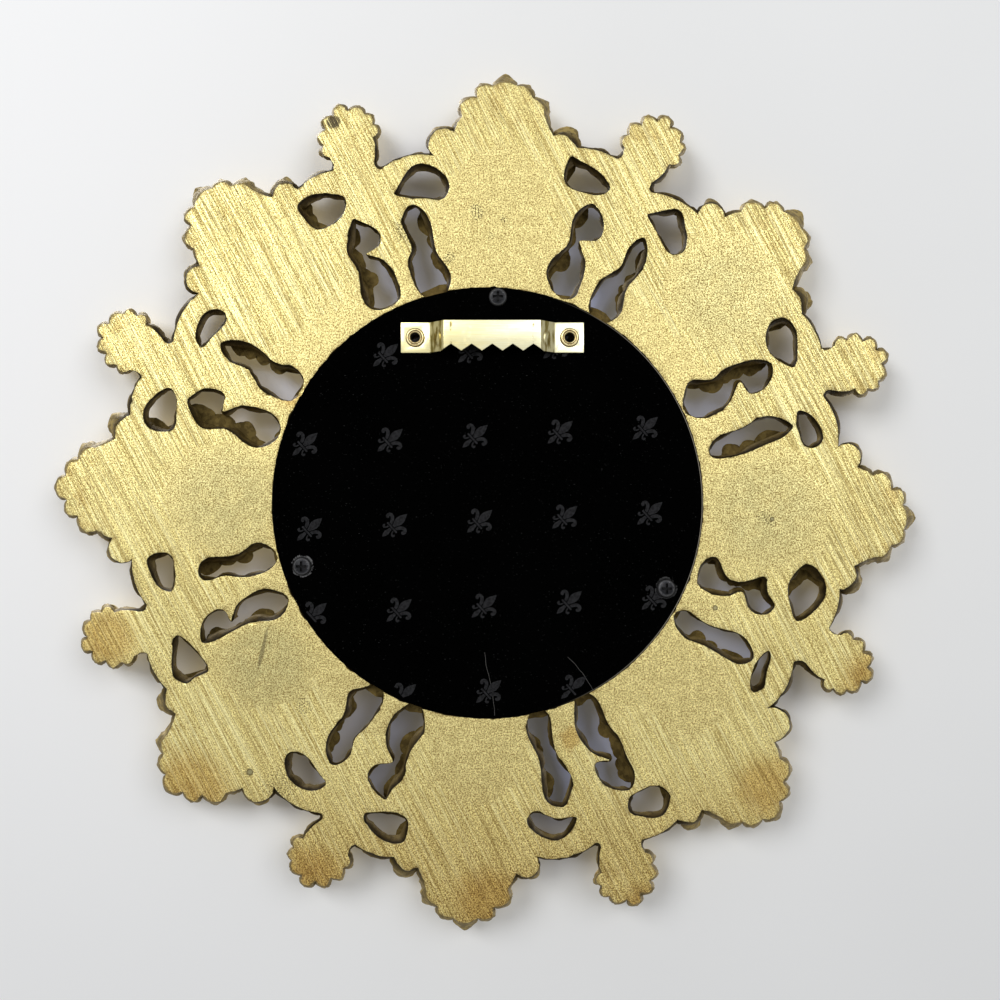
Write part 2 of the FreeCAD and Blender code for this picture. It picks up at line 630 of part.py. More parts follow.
def cut(name, base, tools):
    """A solid less the cutting solids."""
    result = doc.addObject("Part::Cut", name)
    result.Base = base
    result.Tool = tools[0] if len(tools) == 1 else joined(name + "_tools", tools)
    result.Refine = False
    return result


def screw_place(name):
    """Expressions for how far across and how far up a screw sits."""
    arm = f"(Sizes.glass_radius + Sizes.{name}_margin)"
    turn = f"(Sizes.{name}_turn * 1 deg)"
    return f"-{arm} * sin{turn}", f"{arm} * cos{turn}"


SCREWS = (
    ("screw_top", *screw_place("screw_top")),
    ("screw_lower_left", *screw_place("screw_left")),
    ("screw_lower_right", *screw_place("screw_right")),
)
PANEL_RADIUS = "(Sizes.glass_radius + Sizes.panel_margin)"
HANGER_UP = f"({PANEL_RADIUS} - Sizes.hanger_drop)"
RIVETS = (
    ("left", "Sizes.hanger_shift + Sizes.hanger_length / 2 - Sizes.rivet_inset", HANGER_UP),
    ("right", "Sizes.hanger_shift - Sizes.hanger_length / 2 + Sizes.rivet_inset", HANGER_UP),
)
SHEET_BACK = "Sizes.panel_sink"
BOARD_BACK = f"({SHEET_BACK} + Sizes.sheet_thickness)"
PANEL = f"({BOARD_BACK} + Sizes.board_thickness)"
COAT_BACK = f"({PANEL} + Sizes.cushion_thickness)"
GLASS_BACK = f"({COAT_BACK} + Sizes.coat_thickness)"
GLASS_FRONT = f"({GLASS_BACK} + Sizes.glass_thickness)"
RUN = "Sizes.overrun"
parts = {}

# Frame: pierced casting with the relief of leaves, stems and round moulding in front
reliefs = [shaped("casting", casting_slab()), shaped("ring_moulding", ring_moulding())]
for number in range(SECTORS):
    reliefs.append(shaped(f"leaf_{number + 1}", leaf_relief(number)))
    reliefs.append(shaped(f"overleaf_{number + 1}", overleaf_relief(number)))
    reliefs.append(shaped(f"stem_{number + 1}", stem_relief(number)))
frame_tools = [
    round_bar("panel_recess", f"{PANEL_RADIUS} + Sizes.panel_fit", f"{PANEL} + {RUN}", f"-{RUN}"),
    round_bar("glass_pocket", "Sizes.glass_radius + Sizes.glass_fit", f"{GLASS_FRONT} + {RUN}", f"-{RUN}"),
    round_bar(
        "sight_opening", "Sizes.glass_radius - Sizes.glass_lap",
        f"Sizes.ring_crest_depth + 2 * {RUN}", f"-{RUN}",
    ),
]
for label, across, up in SCREWS:
    frame_tools.append(round_bar(
        label + "_bore", "Sizes.screw_radius + Sizes.screw_fit",
        f"Sizes.screw_length + {RUN}", "0", across, up,
    ))
for side, across, up in RIVETS:
    frame_tools.append(round_bar(
        f"rivet_relief_{side}", "Sizes.washer_radius + Sizes.washer_clearance",
        COAT_BACK, "0", across, up,
    ))
parts["frame"] = cut("frame", joined("frame_body", reliefs), frame_tools)

# Mirror glass with a ground bevel, and the silvering on its back
bevel = doc.addObject("Part::Cone", "glass_bevel")
bevel.Placement = FreeCAD.Placement(FreeCAD.Vector(0, 0, 0), FACING)
bevel.setExpression("Radius1", "Sizes.glass_radius")
bevel.setExpression("Radius2", "Sizes.glass_radius - Sizes.glass_bevel_width")
bevel.setExpression("Height", "Sizes.glass_bevel_drop")
bevel.setExpression("Placement.Base.y", f"-({GLASS_FRONT} - Sizes.glass_bevel_drop)")
land = round_bar(
    "glass_land", "Sizes.glass_radius", "Sizes.glass_thickness - Sizes.glass_bevel_drop", GLASS_BACK,
)
parts["mirror_glass"] = joined("mirror_glass", [land, bevel])
parts["silver_coat"] = round_bar("silver_coat", "Sizes.glass_radius", "Sizes.coat_thickness", COAT_BACK)

# Soft disc with room for the rivets' clinched tails
pad_disc = round_bar("cushion_disc", "Sizes.glass_radius", "Sizes.cushion_thickness", PANEL)
pad_tools = [
    round_bar(
        f"cushion_room_{side}", "Sizes.washer_radius + Sizes.washer_clearance",
        f"Sizes.cushion_thickness + 2 * {RUN}", f"{PANEL} - {RUN}", across, up,
    )
    for side, across, up in RIVETS
]
parts["cushion_pad"] = cut("cushion_pad", pad_disc, pad_tools)


def pierced_disc(name, thickness, depth):
    """A disc of the back panel, pierced for the screws and the rivets."""
    disc = round_bar(name + "_disc", PANEL_RADIUS, thickness, depth)
    start, length = f"{depth} - {RUN}", f"{thickness} + 2 * {RUN}"
    tools = [
        round_bar(
            f"{name}_{label}", "Sizes.screw_radius + Sizes.screw_clearance",
            length, start, across, up,
        )
        for label, across, up in SCREWS
    ]
    tools += [
        round_bar(
            f"{name}_rivet_{side}", "Sizes.rivet_barrel_radius + Sizes.rivet_fit",
            length, start, across, up,
        )
        for side, across, up in RIVETS
    ]
    return cut(name, disc, tools)


parts["back_board"] = pierced_disc("back_board", "Sizes.board_thickness", BOARD_BACK)
parts["back_sheet"] = pierced_disc("back_sheet", "Sizes.sheet_thickness", SHEET_BACK)


def turned(name, edges_of, across, up):
    """A turned piece on the printed sheet: its half section, spun about its axis."""
    face = Part.Face(Part.Wire(edges_of()))
    solid = face.revolve(FreeCAD.Vector(0, 0, 0), FreeCAD.Vector(0, 0, 1), 360)
    piece = shaped(name, solid)
    piece.Placement = FreeCAD.Placement(FreeCAD.Vector(0, 0, 0), FACING)
    piece.setExpression("Placement.Base.x", across)
    piece.setExpression("Placement.Base.y", f"-{SHEET_BACK}")
    piece.setExpression("Placement.Base.z", up)
    return piece


def at(radius, depth):
    """A point of a half section."""
    return FreeCAD.Vector(radius, 0, depth)


def chain(*points):
    """Straight edges through these points."""
    return [Part.makeLine(a, b) for a, b in zip(points, points[1:])]


def screw_section():
    """Domed head outside the sheet, shank and point inside."""
    head, height = size("screw_head_radius"), size("screw_head_height")
    shank, length, point = size("screw_radius"), size("screw_length"), size("screw_point")
    side_share, dome_share, blunt_share = 0.45, 0.62, 0.12
    side = height * side_share
    dome = Part.Arc(
        at(head, -side),
        at(head * dome_share, -(side + (height - side) * dome_share)),
        at(0, -height),
    ).toShape()
    foot = chain(
        at(0, -height), at(0, length), at(shank * blunt_share, length),
        at(shank, length - point), at(shank, 0), at(head, 0), at(head, -side),
    )
    return foot + [dome]


for label, across, up in SCREWS:
    blank = turned(label + "_blank", screw_section, across, up)
    slots = []
    for axis in ("across", "upright"):
        slot = doc.addObject("Part::Box", f"{label}_slot_{axis}")
        span_x, span_z = "Sizes.screw_cross_span", "Sizes.screw_cross_width"
        if axis == "upright":
            span_x, span_z = span_z, span_x
        slot.setExpression("Length", span_x)
        slot.setExpression("Width", f"Sizes.screw_cross_depth + {RUN}")
        slot.setExpression("Height", span_z)
        slot.setExpression("Placement.Base.x", f"{across} - {span_x} / 2")
        slot.setExpression(
            "Placement.Base.y", f"Sizes.screw_head_height - Sizes.screw_cross_depth - {SHEET_BACK}",
        )
        slot.setExpression("Placement.Base.z", f"{up} - {span_z} / 2")
        slots.append(slot)
    parts[label] = cut(label, blank, slots)


def hanger_strip():
    """The pressed strip: flat feet, slopes and a raised toothed middle."""
    half, foot, slope = size("hanger_length") / 2, size("hanger_foot"), size("hanger_slope")
    rise, metal, width = size("hanger_rise"), size("hanger_sheet"), size("hanger_width")
    lean = math.atan2(rise, slope)
    shift = metal * math.tan(lean / 2)
    outer = (
        (-half, metal), (-half + foot - shift, metal),
        (-half + foot + slope - shift, rise + metal), (half - foot - slope + shift, rise + metal),
        (half - foot + shift, metal), (half, metal),
    )
    inner = (
        (half, 0.0), (half - foot, 0.0), (half - foot - slope, rise),
        (-half + foot + slope, rise), (-half + foot, 0.0), (-half, 0.0),
    )
    corners = [FreeCAD.Vector(x, y, -width / 2) for x, y in outer + inner]
    strip = Part.Face(Part.makePolygon(corners + corners[:1]))
    return strip.extrude(FreeCAD.Vector(0, 0, width))


def hanger_teeth():
    """The notches along the lower edge of the raised middle, five apexes in a row."""
    pitch, deep, width = size("tooth_pitch"), size("tooth_depth"), size("hanger_width")
    low, thick = -width / 2, size("hanger_rise") + size("hanger_sheet") + size("overrun")
    notches = 5
    start = -notches * pitch / 2
    corners = [FreeCAD.Vector(start, -size("overrun"), low - size("overrun"))]
    for index in range(notches):
        corners.append(FreeCAD.Vector(start + pitch * index, -size("overrun"), low))
        corners.append(FreeCAD.Vector(start + pitch * (index + 0.5), -size("overrun"), low + deep))
    corners.append(FreeCAD.Vector(-start, -size("overrun"), low))
    corners.append(FreeCAD.Vector(-start, -size("overrun"), low - size("overrun")))
    face = Part.Face(Part.makePolygon(corners + corners[:1]))
    return face.extrude(FreeCAD.Vector(0, thick + size("overrun"), 0))


strip = shaped("hanger_strip", hanger_strip())
teeth = shaped("hanger_teeth", hanger_teeth())
for piece in (strip, teeth):
    piece.setExpression("Placement.Base.x", "Sizes.hanger_shift")
    piece.setExpression("Placement.Base.y", f"-{SHEET_BACK}")
    piece.setExpression("Placement.Base.z", HANGER_UP)
hanger_tools = [teeth] + [
    round_bar(
        f"hanger_eye_{side}", "Sizes.rivet_barrel_radius + Sizes.rivet_fit",
        f"Sizes.hanger_sheet + 2 * {RUN}", f"-(Sizes.hanger_sheet + {RUN})", across, up,
    )
    for side, across, up in RIVETS
]
parts["hanger_plate"] = cut("hanger_plate", strip, hanger_tools)


def rivet_section():
    """Rolled rim on the hanger, barrel through the panel, clinched tail inside."""
    bore, barrel, rim = size("rivet_bore_radius"), size("rivet_barrel_radius"), size("rivet_head_radius")
    tail, metal = size("rivet_tail_radius"), size("hanger_sheet")
    seat = size("sheet_thickness") + size("board_thickness") + size("washer_thickness")
    top = metal + size("rivet_head_height")
    end = seat + size("rivet_tail_height")
    middle_share = 0.5
    side = metal + size("rivet_head_height") * middle_share / 2
    curl = seat + size("rivet_tail_height") * middle_share / 2
    rim_arc = Part.Arc(
        at(bore, -side), at(bore + (rim - bore) * middle_share, -top), at(rim, -side),
    ).toShape()
    tail_arc = Part.Arc(
        at(tail, curl), at(bore + (tail - bore) * middle_share, end), at(bore, curl),
    ).toShape()
    barrel_side = chain(
        at(rim, -side), at(rim, -metal), at(barrel, -metal), at(barrel, seat),
        at(tail, seat), at(tail, curl),
    )
    return [rim_arc] + barrel_side + [tail_arc] + chain(at(bore, curl), at(bore, -side))


for side, across, up in RIVETS:
    parts[f"rivet_{side}"] = turned(f"rivet_{side}", rivet_section, across, up)
    ring = round_bar(
        f"washer_disc_{side}", "Sizes.washer_radius", "Sizes.washer_thickness", PANEL, across, up,
    )
    eye = round_bar(
        f"washer_eye_{side}", "Sizes.rivet_barrel_radius + Sizes.rivet_fit",
        f"Sizes.washer_thickness + 2 * {RUN}", f"{PANEL} - {RUN}", across, up,
    )
    parts[f"rivet_washer_{side}"] = cut(f"rivet_washer_{side}", ring, [eye])

for label, piece in parts.items():
    piece.Label = label
doc.recompute()

# Nothing is written unless every object computed and every piece is one sound solid
for item in doc.Objects:
    if "Invalid" in item.State or "Error" in item.State:
        raise RuntimeError(f"{item.Name} did not compute: {item.State}")
for label, piece in parts.items():
    if piece.Shape.isNull() or not piece.Shape.isValid() or not piece.Shape.Solids:
        raise RuntimeError(f"{label} is not a sound solid")

os.makedirs("parts", exist_ok=True)
for label, piece in parts.items():
    piece.Shape.exportStep(f"parts/{label}.step")
    print(label, len(piece.Shape.Solids), round(piece.Shape.Volume, 1))
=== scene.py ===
import json
import math
from functools import reduce

import bmesh
import bpy
from bpy.props import FloatProperty, FloatVectorProperty, IntProperty, PointerProperty
from mathutils import Matrix, Vector, noise
from mathutils.bvhtree import BVHTree
from mathutils.geometry import delaunay_2d_cdt
from mathutils.kdtree import KDTree

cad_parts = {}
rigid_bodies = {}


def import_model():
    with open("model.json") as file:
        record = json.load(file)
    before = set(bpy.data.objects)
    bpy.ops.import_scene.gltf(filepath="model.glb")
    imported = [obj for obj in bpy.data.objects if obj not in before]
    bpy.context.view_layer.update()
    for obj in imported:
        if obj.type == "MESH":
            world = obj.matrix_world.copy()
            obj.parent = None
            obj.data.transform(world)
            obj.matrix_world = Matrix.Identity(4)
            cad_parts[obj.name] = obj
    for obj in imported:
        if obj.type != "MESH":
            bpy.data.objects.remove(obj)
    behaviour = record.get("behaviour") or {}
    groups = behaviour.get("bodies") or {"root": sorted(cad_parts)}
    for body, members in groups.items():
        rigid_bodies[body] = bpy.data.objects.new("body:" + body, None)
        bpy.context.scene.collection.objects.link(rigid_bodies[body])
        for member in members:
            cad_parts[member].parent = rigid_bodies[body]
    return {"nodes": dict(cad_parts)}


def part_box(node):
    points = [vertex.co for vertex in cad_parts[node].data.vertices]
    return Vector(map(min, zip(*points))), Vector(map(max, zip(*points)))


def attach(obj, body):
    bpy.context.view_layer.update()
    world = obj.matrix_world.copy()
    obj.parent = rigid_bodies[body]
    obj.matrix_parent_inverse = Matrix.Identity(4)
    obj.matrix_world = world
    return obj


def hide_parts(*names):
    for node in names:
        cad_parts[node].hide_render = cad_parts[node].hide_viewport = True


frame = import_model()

bl_info = {
    "name": "Carved Leaf Wall Mirror",
    "version": (1, 0, 0),
    "blender": (4, 5, 0),
    "location": "View3D > Sidebar > Mirror",
    "description": "Builds a round wall mirror in a gilt frame of carved leaves, back to front",
    "category": "Object",
}

MM = 0.001
SECTORS = 8

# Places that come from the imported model
PANEL_LOW, PANEL_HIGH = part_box("back_sheet")
PANEL_RADIUS = (PANEL_HIGH.x - PANEL_LOW.x) / 2
GLASS_LOW, GLASS_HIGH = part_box("mirror_glass")
GLASS_RADIUS = (GLASS_HIGH.x - GLASS_LOW.x) / 2
HANGER_LOW, HANGER_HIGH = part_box("hanger_plate")
RIVETS = ("rivet_left", "rivet_right")
SCREWS = ("screw_top", "screw_lower_left", "screw_lower_right")

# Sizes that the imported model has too
GLASS_LAP = 4.2 * MM
SIGHT_RADIUS = GLASS_RADIUS - GLASS_LAP
RING_WIDTH = 14.0 * MM
RING_RADIUS = GLASS_RADIUS + RING_WIDTH
LEAF_REACH = 78.3 * MM
LEAF_TILT = math.radians(2.1)
RIM_DEPTH = 8.9 * MM

# A turn share is an angle in sectors of 45 degrees, from the leaf's middle, clockwise
# as seen from behind. A reach share runs from 0 at the panel's edge to 1 at the leaves' reach.
# Each sector's shifts: leaf turn and reach, heel reach, palmette turn and reach
SECTOR_SHIFT_SHARES = (
    (0.004, 0.000, -0.028, 0.010, 0.002),
    (0.000, -0.006, 0.000, 0.000, 0.003),
    (-0.004, -0.006, -0.010, -0.002, -0.016),
    (0.003, 0.003, -0.045, 0.002, 0.014),
    (0.020, -0.006, 0.000, 0.022, -0.005),
    (0.022, 0.013, -0.010, 0.020, 0.022),
    (-0.002, 0.018, 0.012, -0.005, 0.007),
    (-0.003, 0.001, 0.000, -0.004, -0.003),
)
# Scallops of a leaf's front edge: notch turn and reach, then crown turn and reach.
# The first belongs to the heel.
LEAF_EDGE_SHARES = (
    (-0.243, 0.674, -0.244, 0.762),
    (-0.166, 0.751, -0.160, 0.790),
    (-0.144, 0.815, -0.139, 0.885),
    (-0.087, 0.899, -0.077, 0.958),
    (-0.036, 0.948, 0.003, 1.008),
    (0.040, 0.958, 0.079, 0.961),
    (0.096, 0.908, 0.143, 0.898),
    (0.150, 0.840, 0.163, 0.802),
    (0.175, 0.750, 0.253, 0.791),
)
LEAF_EDGE_END_SHARES = (0.266, 0.714)
# Lower lobes of a leaf down to the round moulding: crown and next notch of each
LEAF_HEM_SHARES = (
    (0.276, 0.630), (0.262, 0.545),
    (0.300, 0.500), (0.335, 0.485),
    (0.385, 0.445), (0.348, 0.362),
    (0.368, 0.305), (0.350, 0.255),
    (0.374, 0.195), (0.325, 0.152),
    (0.298, 0.105), (0.268, 0.030),
    (0.000, 0.010), (-0.262, 0.030),
    (-0.292, 0.105), (-0.320, 0.145),
    (-0.352, 0.190), (-0.322, 0.225),
    (-0.343, 0.265), (-0.322, 0.300),
    (-0.365, 0.370), (-0.325, 0.430),
    (-0.270, 0.440), (-0.215, 0.475),
    (-0.222, 0.560),
)
# Scallops of a palmette's front edge, in the same order
PALMETTE_EDGE_SHARES = (
    (0.409, 0.772, 0.387, 0.808),
    (0.405, 0.843, 0.400, 0.892),
    (0.432, 0.909, 0.440, 0.960),
    (0.475, 0.950, 0.500, 0.995),
    (0.522, 0.950, 0.563, 0.953),
    (0.571, 0.913, 0.595, 0.894),
    (0.587, 0.853, 0.604, 0.820),
)
PALMETTE_EDGE_END_SHARES = (0.582, 0.791)
# Sides of the stem below a palmette, in the same order
STEM_HEM_SHARES = (
    (0.555, 0.720), (0.541, 0.630),
    (0.566, 0.450), (0.562, 0.300),
    (0.535, 0.150), (0.530, 0.010),
    (0.508, 0.014), (0.486, 0.010),
    (0.484, 0.150), (0.468, 0.270),
    (0.486, 0.450), (0.470, 0.630),
    (0.440, 0.720),
)
STEM_AXIS_SHARE = 0.51


def length(name, description, millimetres):
    """A length that can be set in the panel."""
    return FloatProperty(name=name, description=description, default=millimetres * MM, unit="LENGTH")


def colour(name, description, value):
    """A colour that can be set in the panel."""
    return FloatVectorProperty(
        name=name, description=description, default=value, subtype="COLOR", size=3,
    )


class CastingSettings(bpy.types.PropertyGroup):
    """Sizes and colours of the gilt casting."""
    edge_wear: length("Edge wear", "Width of the worn edge round the flat back", 0.30)
    edge_drop: length("Edge drop", "How far the worn edge falls below the flat back", 0.07)
    wall_swell: length("Wall swell", "How far the scalloped walls bulge at their middle", 0.55)
    crown_point: length("Crown point", "How far a scallop is drawn in beside its crown", 0.75)
    lobe_depth: length("Lobe depth", "Depth of the creases in the walls of the openings", 1.3)
    pillow_rise: length("Pillow rise", "How far stems and bridges swell in front", 1.1)
    pillow_width: length("Pillow width", "Distance from the edge at which the swell is full", 4.5)
    light_gold: colour("Light gold", "Bright flakes of the gold paint", (0.98, 0.87, 0.37))
    olive_gold: colour("Olive gold", "Dark flakes of the gold paint", (0.27, 0.172, 0.034))
    bronze: colour("Bronze", "Walls of the scallops and openings", (0.098, 0.066, 0.021))
    umber: colour("Umber", "Stain in the hollows of the carving", (0.070, 0.042, 0.014))


class CarvingSettings(bpy.types.PropertyGroup):
    """Sizes of the carved front. A crest's depth is measured from the flat back."""
    leaf_crest: length("Leaf crest", "Depth of the large leaf's crest", 15.6)
    overleaf_crest: length("Overleaf crest", "Depth of the small leaf laid on the large one", 17.7)
    palmette_crest: length("Palmette crest", "Depth of a palmette's crest", 13.6)
    flute_depth: length("Flute depth", "Depth of the valleys between the leaf's lobes", 2.4)
    ring_crest: length("Ring crest", "Depth of the round moulding's crest", 16.6)
    bead_count: IntProperty(name="Beads", description="Beads round the mirror's opening", default=96)


class BackSettings(bpy.types.PropertyGroup):
    """Sizes and colours of the printed panel and the hardware."""
    motif_pitch: length("Motif pitch", "Distance between two lilies of the print", 29.6)
    motif_height: length("Motif height", "Height of one lily of the print", 12.6)
    sheet_black: colour("Sheet black", "Printed sheet", (0.0003, 0.0003, 0.0003))
    print_grey: colour("Print grey", "Lilies printed on the sheet", (0.024, 0.024, 0.0255))
    brass: colour("Pale brass", "Sawtooth hanger", (1.0, 0.96, 0.66))
    steel: colour("Dark steel", "Screws", (0.034, 0.036, 0.041))


class StudioSettings(bpy.types.PropertyGroup):
    """Camera and table."""
    camera_distance: length("Camera distance", "From the flat back to the camera", 315.0)
    camera_lens: FloatProperty(name="Lens", description="Focal length in millimetres", default=32.6)
    table_white: colour("Table white", "Surface that the mirror lies on", (0.850, 0.856, 0.856))


# Small helpers

def settings(name):
    """One of the add-on's groups of values."""
    return getattr(bpy.context.scene, name)


def clear_selection():
    """Deselects everything, because operators act on all that is selected."""
    for piece in bpy.context.scene.objects:
        piece.select_set(False)


def make_active(piece):
    """Selects one piece alone."""
    clear_selection()
    piece.select_set(True)
    bpy.context.view_layer.objects.active = piece


def new_piece(name, mesh):
    """A linked object from a bmesh, smooth all over."""
    data = bpy.data.meshes.new(name)
    mesh.to_mesh(data)
    mesh.free()
    piece = bpy.data.objects.new(name, data)
    bpy.context.scene.collection.objects.link(piece)
    data.shade_smooth()
    return piece


def drop_custom_normals(mesh):
    """Lets go of the normals that came with a copied mesh."""
    stored = mesh.attributes.get("custom_normal")
    if stored:
        mesh.attributes.remove(stored)


def smooth_by_angle(piece, degrees):
    """Smooth shading with creases where faces meet at a sharper angle."""
    make_active(piece)
    bpy.ops.object.shade_smooth_by_angle(angle=math.radians(degrees))


def finish_piece(piece, slot, material, *nodes):
    """Hangs a piece on the object, with its finish and the nodes it stands for."""
    piece.data.materials.clear()
    piece.data.materials.append(material)
    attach(piece, "root")
    if nodes:
        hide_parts(*nodes)
    return piece


def dress_node(name, material):
    """Gives a CAD node a better finish."""
    data = frame["nodes"][name].data
    data.materials.clear()
    data.materials.append(material)


def around(angle, radius, depth):
    """A point at an angle and radius from the axis, this deep behind the flat back."""
    return Vector((-radius * math.sin(angle), -depth, radius * math.cos(angle)))


def spot(sector, turn, reach, depth):
    """A point at a sector's turn and reach, this deep behind the flat back."""
    angle = LEAF_TILT + math.tau / SECTORS * (sector + turn)
    return around(angle, PANEL_RADIUS + LEAF_REACH * reach, depth)


def smoothstep(low, high, value):
    """0 at low, 1 at high, with a soft rise between."""
    share = min(max((value - low) / (high - low), 0.0), 1.0)
    return share * share * (3 - 2 * share)


def point_tree(points):
    """A tree that finds the nearest of some points."""
    tree = KDTree(len(points))
    for index, point in enumerate(points):
        tree.insert(point, index)
    tree.balance()
    return tree


def join_rings(mesh, rings):
    """Faces between each ring of vertices and the next."""
    for lower, upper in zip(rings, rings[1:]):
        for index in range(len(lower)):
            onward = (index + 1) % len(lower)
            mesh.faces.new((lower[index], lower[onward], upper[onward], upper[index]))


def face_the_wall(mesh):
    """Turns flat faces so that they show from behind."""
    for face in mesh.faces:
        face.normal_update()
        if face.normal.y < 0:
            face.normal_flip()


def round_of(name):
    """A round node's middle in X and Z and its radius, in millimetres."""
    low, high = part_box(name)
    return 500 * (low.x + high.x), 500 * (low.z + high.z), 500 * (high.x - low.x)


# Materials

class Signal:
    """A node's output. Each sum, product or fade of it adds a node."""

    def __init__(self, tree, socket):
        self.tree, self.socket = tree, socket

    def out(self, name):
        """Another output of the same node."""
        return Signal(self.tree, self.socket.node.outputs[name])

    def math(self, operation, *others, clamp=False):
        """A Math node's value, with this signal as the first term."""
        terms = dict(enumerate((self, *others)))
        return add(self.tree, "ShaderNodeMath", terms, operation=operation, use_clamp=clamp)

    def __add__(self, other):
        return self.math("ADD", other)

    def __sub__(self, other):
        return self.math("SUBTRACT", other)

    def __rsub__(self, other):
        return add(self.tree, "ShaderNodeMath", {0: other, 1: self}, operation="SUBTRACT")

    def __mul__(self, other):
        return self.math("MULTIPLY", other)

    def __truediv__(self, other):
        return self.math("DIVIDE", other)

    def most(self, other):
        """The larger of two signals."""
        return self.math("MAXIMUM", other)

    def least(self, other):
        """The smaller of two signals."""
        return self.math("MINIMUM", other)

    def rest(self):
        """What this share leaves of 1, never below 0."""
        terms = {0: 1.0, 1: self}
        return add(self.tree, "ShaderNodeMath", terms, operation="SUBTRACT", use_clamp=True)

    def fade(self, low, high, to_low=0.0, to_high=1.0):
        """This signal mapped softly from one span to another."""
        inputs = {"Value": self, "From Min": low, "From Max": high, "To Min": to_low, "To Max": to_high}
        return add(self.tree, "ShaderNodeMapRange", inputs, interpolation_type="SMOOTHSTEP")

    def span(self, to_low, to_high):
        """A share of 0 to 1 mapped softly to another span."""
        return self.fade(0.0, 1.0, to_low, to_high)

    def band(self, low, full, falling, high):
        """1 between full and falling, 0 below low and above high."""
        return self.fade(low, full) * self.fade(falling, high, 1.0, 0.0)


def plug(tree, node, inputs):
    """Links or fills in a node's inputs; None leaves an input as it is."""
    for key, value in inputs.items():
        if isinstance(value, Signal):
            tree.links.new(value.socket, node.inputs[key])
        elif value is not None:
            node.inputs[key].default_value = value


def add(tree, kind, inputs=None, **fields):
    """A node's first output, with the node's fields and inputs set."""
    node = tree.nodes.new(kind)
    for field, value in fields.items():
        setattr(node, field, value)
    plug(tree, node, inputs or {})
    return Signal(tree, node.outputs[0]) if node.outputs else None


def seen_directly(tree):
    """1 for rays that show a surface: straight, mirrored or through glass."""
    rays = add(tree, "ShaderNodeLightPath")
    seen = rays.out("Is Camera Ray").most(rays.out("Is Glossy Ray"))
    return seen.most(rays.out("Is Transmission Ray"))


class Finish:
    """A node material that is painted coat by coat, in millimetre coordinates."""

    def __init__(self, name):
        self.material = bpy.data.materials.new(name)
        self.material.use_nodes = True
        self.tree = self.material.node_tree
        self.shader = self.tree.nodes["Principled BSDF"]
        self.where = self.place()
        self.parts = add(self.tree, "ShaderNodeSeparateXYZ", {0: self.where})
        self.flat = self.vector("MULTIPLY", self.where, (1.0, 0.0, 1.0))
        self.paint_so_far = None

    def vector(self, operation, *terms):
        """A Vector Math node's output."""
        return add(self.tree, "ShaderNodeVectorMath", dict(enumerate(terms)), operation=operation)

    def place(self, turn=0.0, stretch=(1.0, 1.0, 1.0)):
        """Object coordinates in millimetres, turned about Y and stretched."""
        where = add(self.tree, "ShaderNodeTexCoord").out("Object")
        scale = tuple(1000.0 * s for s in stretch)
        inputs = {"Vector": where, "Rotation": (0.0, turn, 0.0), "Scale": scale}
        return add(self.tree, "ShaderNodeMapping", inputs)

    def grain(self, scale, detail=2.0, roughness=0.5, where=None):
        """Noise."""
        inputs = {"Vector": where or self.where, "Scale": scale, "Detail": detail, "Roughness": roughness}
        return add(self.tree, "ShaderNodeTexNoise", inputs).out("Fac")

    def scratches(self, turn, along, across, low, high):
        """Long straight scratches in one direction."""
        inputs = {"Vector": self.place(turn), "Scale": (along, 0.3, across)}
        return self.grain(1.0, 3.0, 0.6, add(self.tree, "ShaderNodeMapping", inputs)).fade(low, high)

    def attribute(self, name):
        """A point attribute's value."""
        return add(self.tree, "ShaderNodeAttribute", attribute_name=name).out("Fac")

    def away(self, across, up):
        """Distance from one spot, whatever the depth."""
        return self.vector("DISTANCE", self.flat, (across, 0.0, up)).out("Value")

    def away_from(self, names):
        """Distance from the middle of the nearest of some round nodes."""
        return reduce(Signal.least, [self.away(*round_of(name)[:2]) for name in names])

    def zones(self, zones, wander, inner_share, outer_share):
        """1 inside round zones and 0 outside, with a soft wandering border."""
        return reduce(Signal.most, [
            (self.away(across, up) + wander).fade(radius * inner_share, radius * outer_share, 1.0, 0.0)
            for across, up, radius in zones
        ])

    def mix(self, factor, first, second, how="MIX"):
        """Two colours mixed by a factor."""
        node = self.tree.nodes.new("ShaderNodeMix")
        node.data_type, node.blend_type = "RGBA", how
        first, second = (c if isinstance(c, Signal) else (*c, 1.0) for c in (first, second))
        plug(self.tree, node, {0: factor, 6: first, 7: second})
        return Signal(self.tree, node.outputs[2])

    def ground(self, factor, first, second):
        """The first coat, between two colours."""
        self.paint_so_far = self.mix(factor, first, second)

    def paint(self, factor, tone, how="MIX"):
        """A colour over what is painted so far."""
        self.paint_so_far = self.mix(factor, self.paint_so_far, tone, how)

    def tint(self, factor, tone):
        """What is painted so far, multiplied by a colour."""
        self.paint(factor, tone, "MULTIPLY")

    def done(self, roughness, metallic=None, specular=None, bump=None):
        """The finished material; bump is a height, its strength and its distance in metres."""
        inputs = {
            "Base Color": self.paint_so_far, "Roughness": roughness,
            "Metallic": metallic, "Specular IOR Level": specular,
        }
        if bump:
            relief = dict(zip(("Height", "Strength", "Distance"), bump))
            inputs["Normal"] = add(self.tree, "ShaderNodeBump", relief)
        plug(self.tree, self.shader, inputs)
        return self.material


# Zones of the flat back that were sprayed and not sanded: X, Z and radius in millimetres
SPRAYED_ZONES = (
    (-4.4, 105.0, 20.0), (-2.0, 86.0, 26.0), (-81.0, 74.0, 21.0), (-97.0, -2.0, 23.0),
    (91.0, 1.0, 22.0), (76.0, -51.0, 22.0), (-70.0, -66.0, 16.0), (4.0, -88.0, 17.0),
)
SAND_TURN = math.radians(63)
